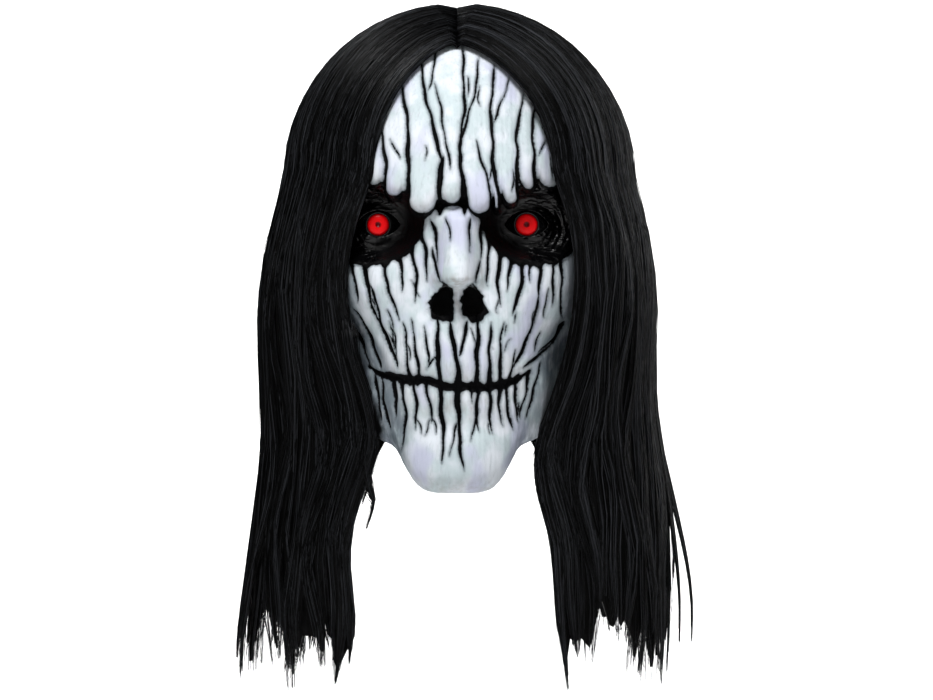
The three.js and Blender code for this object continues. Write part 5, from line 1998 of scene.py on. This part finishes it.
        stray = np.where(strays, rng.uniform(*self.stray_height, (count, 1)), 0.0) * ease((along - 0.3) / 1.4)
        points = base - out * (depth + groove - stray)[..., None]
        if not upper:
            self.lead_wisps(points, rng, out)
        points = form.clear(points, self.head_gap)
        side = form.side.value
        points[..., 0] = side * np.maximum(side * points[..., 0], -0.3)
        radius = self.radius * rng.uniform(0.75, 1.3, (count, 1)) * (1 - 0.6 * ease((along - 1.8) / 0.2))
        return points, np.broadcast_to(radius, points.shape[:-1])

    def lead_wisps(self, points: Array, rng: Picker, out: Array) -> None:
        """Leads the last strands into the thin locks that leave the curtain.

        Args:
            points: the lines of all strands, changed in place.
            rng: what picks their places.
            out: outward directions at the points.
        """
        form = self.form
        done = 0
        t = np.linspace(0, 1, points.shape[1])[None, :]
        for wisp in self.wisps():
            rows = slice(len(points) - done - wisp.count, len(points) - done)
            done += wisp.count
            share = np.clip(wisp.share + rng.normal(0, 0.012, (wisp.count, 1)), 0, 1)
            tip = wisp.tip + rng.exponential(6, (wisp.count, 1))
            level = mix(wisp.leave + 90, tip, t)
            line = form.curtain(np.broadcast_to(share, level.shape), level)
            core = form.curtain(np.full(level.shape, wisp.share), level)
            gone = ease((wisp.leave + 12 - level) / (wisp.leave - wisp.tip))
            loose = rng.normal(0, 0.6, (wisp.count, 1, 3)) * (1 - 0.6 * gone[..., None])
            line = mix(line, core, (0.85 * gone)[..., None]) + loose
            line[..., 0] += form.side.value * wisp.drift * gone
            sink = out[rows, :1] * (3.0 * (1 - ease(t / 0.2)))[..., None]
            points[rows] = line - sink

    def tubes(self, name: str, points: Array, radius: Array, rng: Picker) -> Piece:
        """Three-sided closed tubes along lines.

        Args:
            name: the piece's name.
            points: by strand and step.
            radius: by strand and step.
            rng: what picks the tone of each strand.

        Returns:
            The piece.
        """
        count, steps = points.shape[:2]
        along = unit(np.gradient(points, axis=1))
        up = np.broadcast_to(np.array([0.0, 1.0, 0.0]), along.shape)
        across = unit(np.cross(along, np.where(np.abs(along[..., 1:2]) > 0.9, np.array([1.0, 0.0, 0.0]), up)))
        other = np.cross(along, across)
        rings = []
        for k in range(3):
            turn = 2 * math.pi * k / 3
            rings.append(points + (across * math.cos(turn) + other * math.sin(turn)) * radius[..., None])
        grid = np.stack(rings, axis=2)
        number = np.arange(count * steps * 3).reshape(count, steps, 3)
        faces = []
        for k in range(3):
            a, b = number[:, :-1, k], number[:, :-1, (k + 1) % 3]
            c, d = number[:, 1:, (k + 1) % 3], number[:, 1:, k]
            faces.append(np.stack([a, b, c, d], axis=-1).reshape(-1, 4))
        ends = np.concatenate([number[:, 0, ::-1], number[:, -1]])
        listed = [tuple(f) for f in np.concatenate(faces).tolist()] + [tuple(f) for f in ends.tolist()]
        # How much painted grey highlight each strand gets, picked at random.
        tone = np.repeat(rng.uniform(0, 1, count) ** 3.5, steps * 3)
        return make_mesh(name, grid.reshape(-1, 3), listed, {"tone": tone})

    def build(self) -> None:
        """Makes the mass and the strands and dresses them."""
        fibre = WigFibre()
        mass = self.mass()
        mass.data.materials.append(fibre.make_mass())
        made = [mass]
        strand_finish = fibre.make(f"modacrylic_wig_fibre_{self.form.side.word}")
        rng = np.random.default_rng(self.seed + self.form.side.value)
        for part, upper in (("crown", True), ("curtain", False)):
            points, radius = self.strand_points(rng, self.strands, upper)
            piece = self.tubes(f"hair_{self.form.side.word}_{part}_strands", points, radius, rng)
            piece.data.materials.append(strand_finish)
            made.append(piece)
        for piece in made:
            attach(piece, "root")
            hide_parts(f"hair_{self.form.side.word}")
            LOG.info("made %s with %d faces", piece.name, len(piece.data.polygons))


# The studio.


@dataclass(frozen=True)
class SoftBox:
    """A soft light: its name, its place in metres, its width and height, its power in watts and its aim."""

    name: str
    place: Triple
    size: Pair
    power: float
    aim: Triple

    def add(self) -> None:
        """Puts the light into the scene."""
        data = bpy.data.lights.new(self.name, "AREA")
        data.shape, data.energy = "RECTANGLE", self.power
        data.size, data.size_y = self.size
        lamp = bpy.data.objects.new(self.name, data)
        lamp.location = self.place
        lamp.rotation_euler = (Vector(self.aim) - Vector(self.place)).to_track_quat("-Z", "Y").to_euler()
        bpy.context.scene.collection.objects.link(lamp)


@dataclass
class Studio:
    """The pale room, its soft lights and the camera at the photograph's angle."""

    paper: str = "#f7f7f7"
    wall: float = 3500.0
    reach: float = 6000.0
    bend: float = 900.0
    frame_width: float = 522.0
    centre: Triple = (5.3, -50.0, -184.2)
    lens: float = 135.0
    sensor: float = 36.0
    floor_level: float = -520.0
    even_light: float = 0.13
    front_light: float = 0.2
    lights: tuple[SoftBox, ...] = (
        SoftBox("key_softbox", (-0.18, -1.15, 1.45), (0.6, 0.6), 35.5, (0.0, -0.05, -0.12)),
        SoftBox("paper_light_left", (-1.8, 1.6, 0.5), (0.5, 1.6), 75, (0.2, 3.4, -0.2)),
        SoftBox("paper_light_right", (1.8, 1.6, 0.5), (0.5, 1.6), 75, (-0.2, 3.4, -0.2)),
    )

    def camera(self) -> None:
        """Makes the camera, level with the middle of the object and straight in front of it."""
        data = bpy.data.cameras.new("camera")
        data.lens, data.sensor_width = self.lens, self.sensor
        camera = bpy.data.objects.new("camera", data)
        distance = self.frame_width * self.lens / self.sensor
        camera.location = Vector((self.centre[0], self.centre[1] - distance, self.centre[2])) * MM
        camera.rotation_euler = (math.radians(90), 0, 0)
        data.clip_start, data.clip_end = 0.05, 30
        bpy.context.scene.collection.objects.link(camera)
        bpy.context.scene.camera = camera

    def room(self) -> None:
        """Makes the floor, which curves up into the back wall, and the even light of the room."""
        low, wall, far, bend = self.floor_level, self.wall, self.reach, self.bend
        profile = [(-far, low), (wall - bend, low)]
        for turn in np.linspace(0, math.pi / 2, 12)[1:]:
            profile.append((wall - bend + bend * math.sin(turn), low + bend * (1 - math.cos(turn))))
        profile.append((wall, far))
        points = [[x, y, z] for y, z in profile for x in (-far, far)]
        faces = [(2 * i, 2 * i + 1, 2 * i + 3, 2 * i + 2) for i in range(len(profile) - 1)]
        room = make_mesh("studio_paper", np.array(points), faces)
        f = Finish("seamless_white_paper")
        f.set(Base_Color=linear(self.paper), Roughness=0.9, Normal=f.bump(f.noise(3, 3), 0.05))
        room.data.materials.append(f.material)
        world = bpy.data.worlds.new("even_room_light")
        world.use_nodes = True
        n = Nodes(world.node_tree)
        away = n.add("TexCoord").outputs["Generated"]
        depth = n.add("SeparateXYZ", Vector=away).outputs["Y"]
        strength = n.sum_of("MULTIPLY_ADD", n.step(depth, 0.1, -0.9), self.front_light, self.even_light)
        light = n.add("Background", Color=(1.0, 1.0, 1.0, 1.0), Strength=strength)
        n.add("OutputWorld", Surface=light.outputs[0])
        bpy.context.scene.world = world

    def build(self) -> None:
        """Makes the camera, the room and the lights."""
        self.camera()
        self.room()
        for light in self.lights:
            light.add()
        bpy.context.scene.view_settings.view_transform = "Standard"


def dress_shell(form: HeadForm) -> None:
    """Makes the skin of the shell and dresses it.

    Args:
        form: the head that it follows.
    """
    skin = MaskShell(form).build()
    skin.data.materials.append(PaintedLatex().make())
    skin.data.materials.append(BareLatex().make())
    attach(skin, "root")
    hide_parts("mask_shell")
    LOG.info("made %s with %d faces", skin.name, len(skin.data.polygons))


def corners(box: Iterable[Vector]) -> list[list[float]]:
    """A box's corners as plain lists."""
    return [[round(float(v), 5) for v in corner] for corner in box]


def main() -> None:
    """Builds the mask round its frame."""
    logging.basicConfig(level=logging.INFO, format="%(message)s")
    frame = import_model()
    LOG.info("loaded the frame with %d nodes", len(frame["nodes"]))
    form = HeadForm()
    Studio().build()
    dress_shell(form)
    Eyes(form).build()
    for side in Side:
        HairSide(HairForm(form, side)).build()


if __name__ == "__main__":
    main()
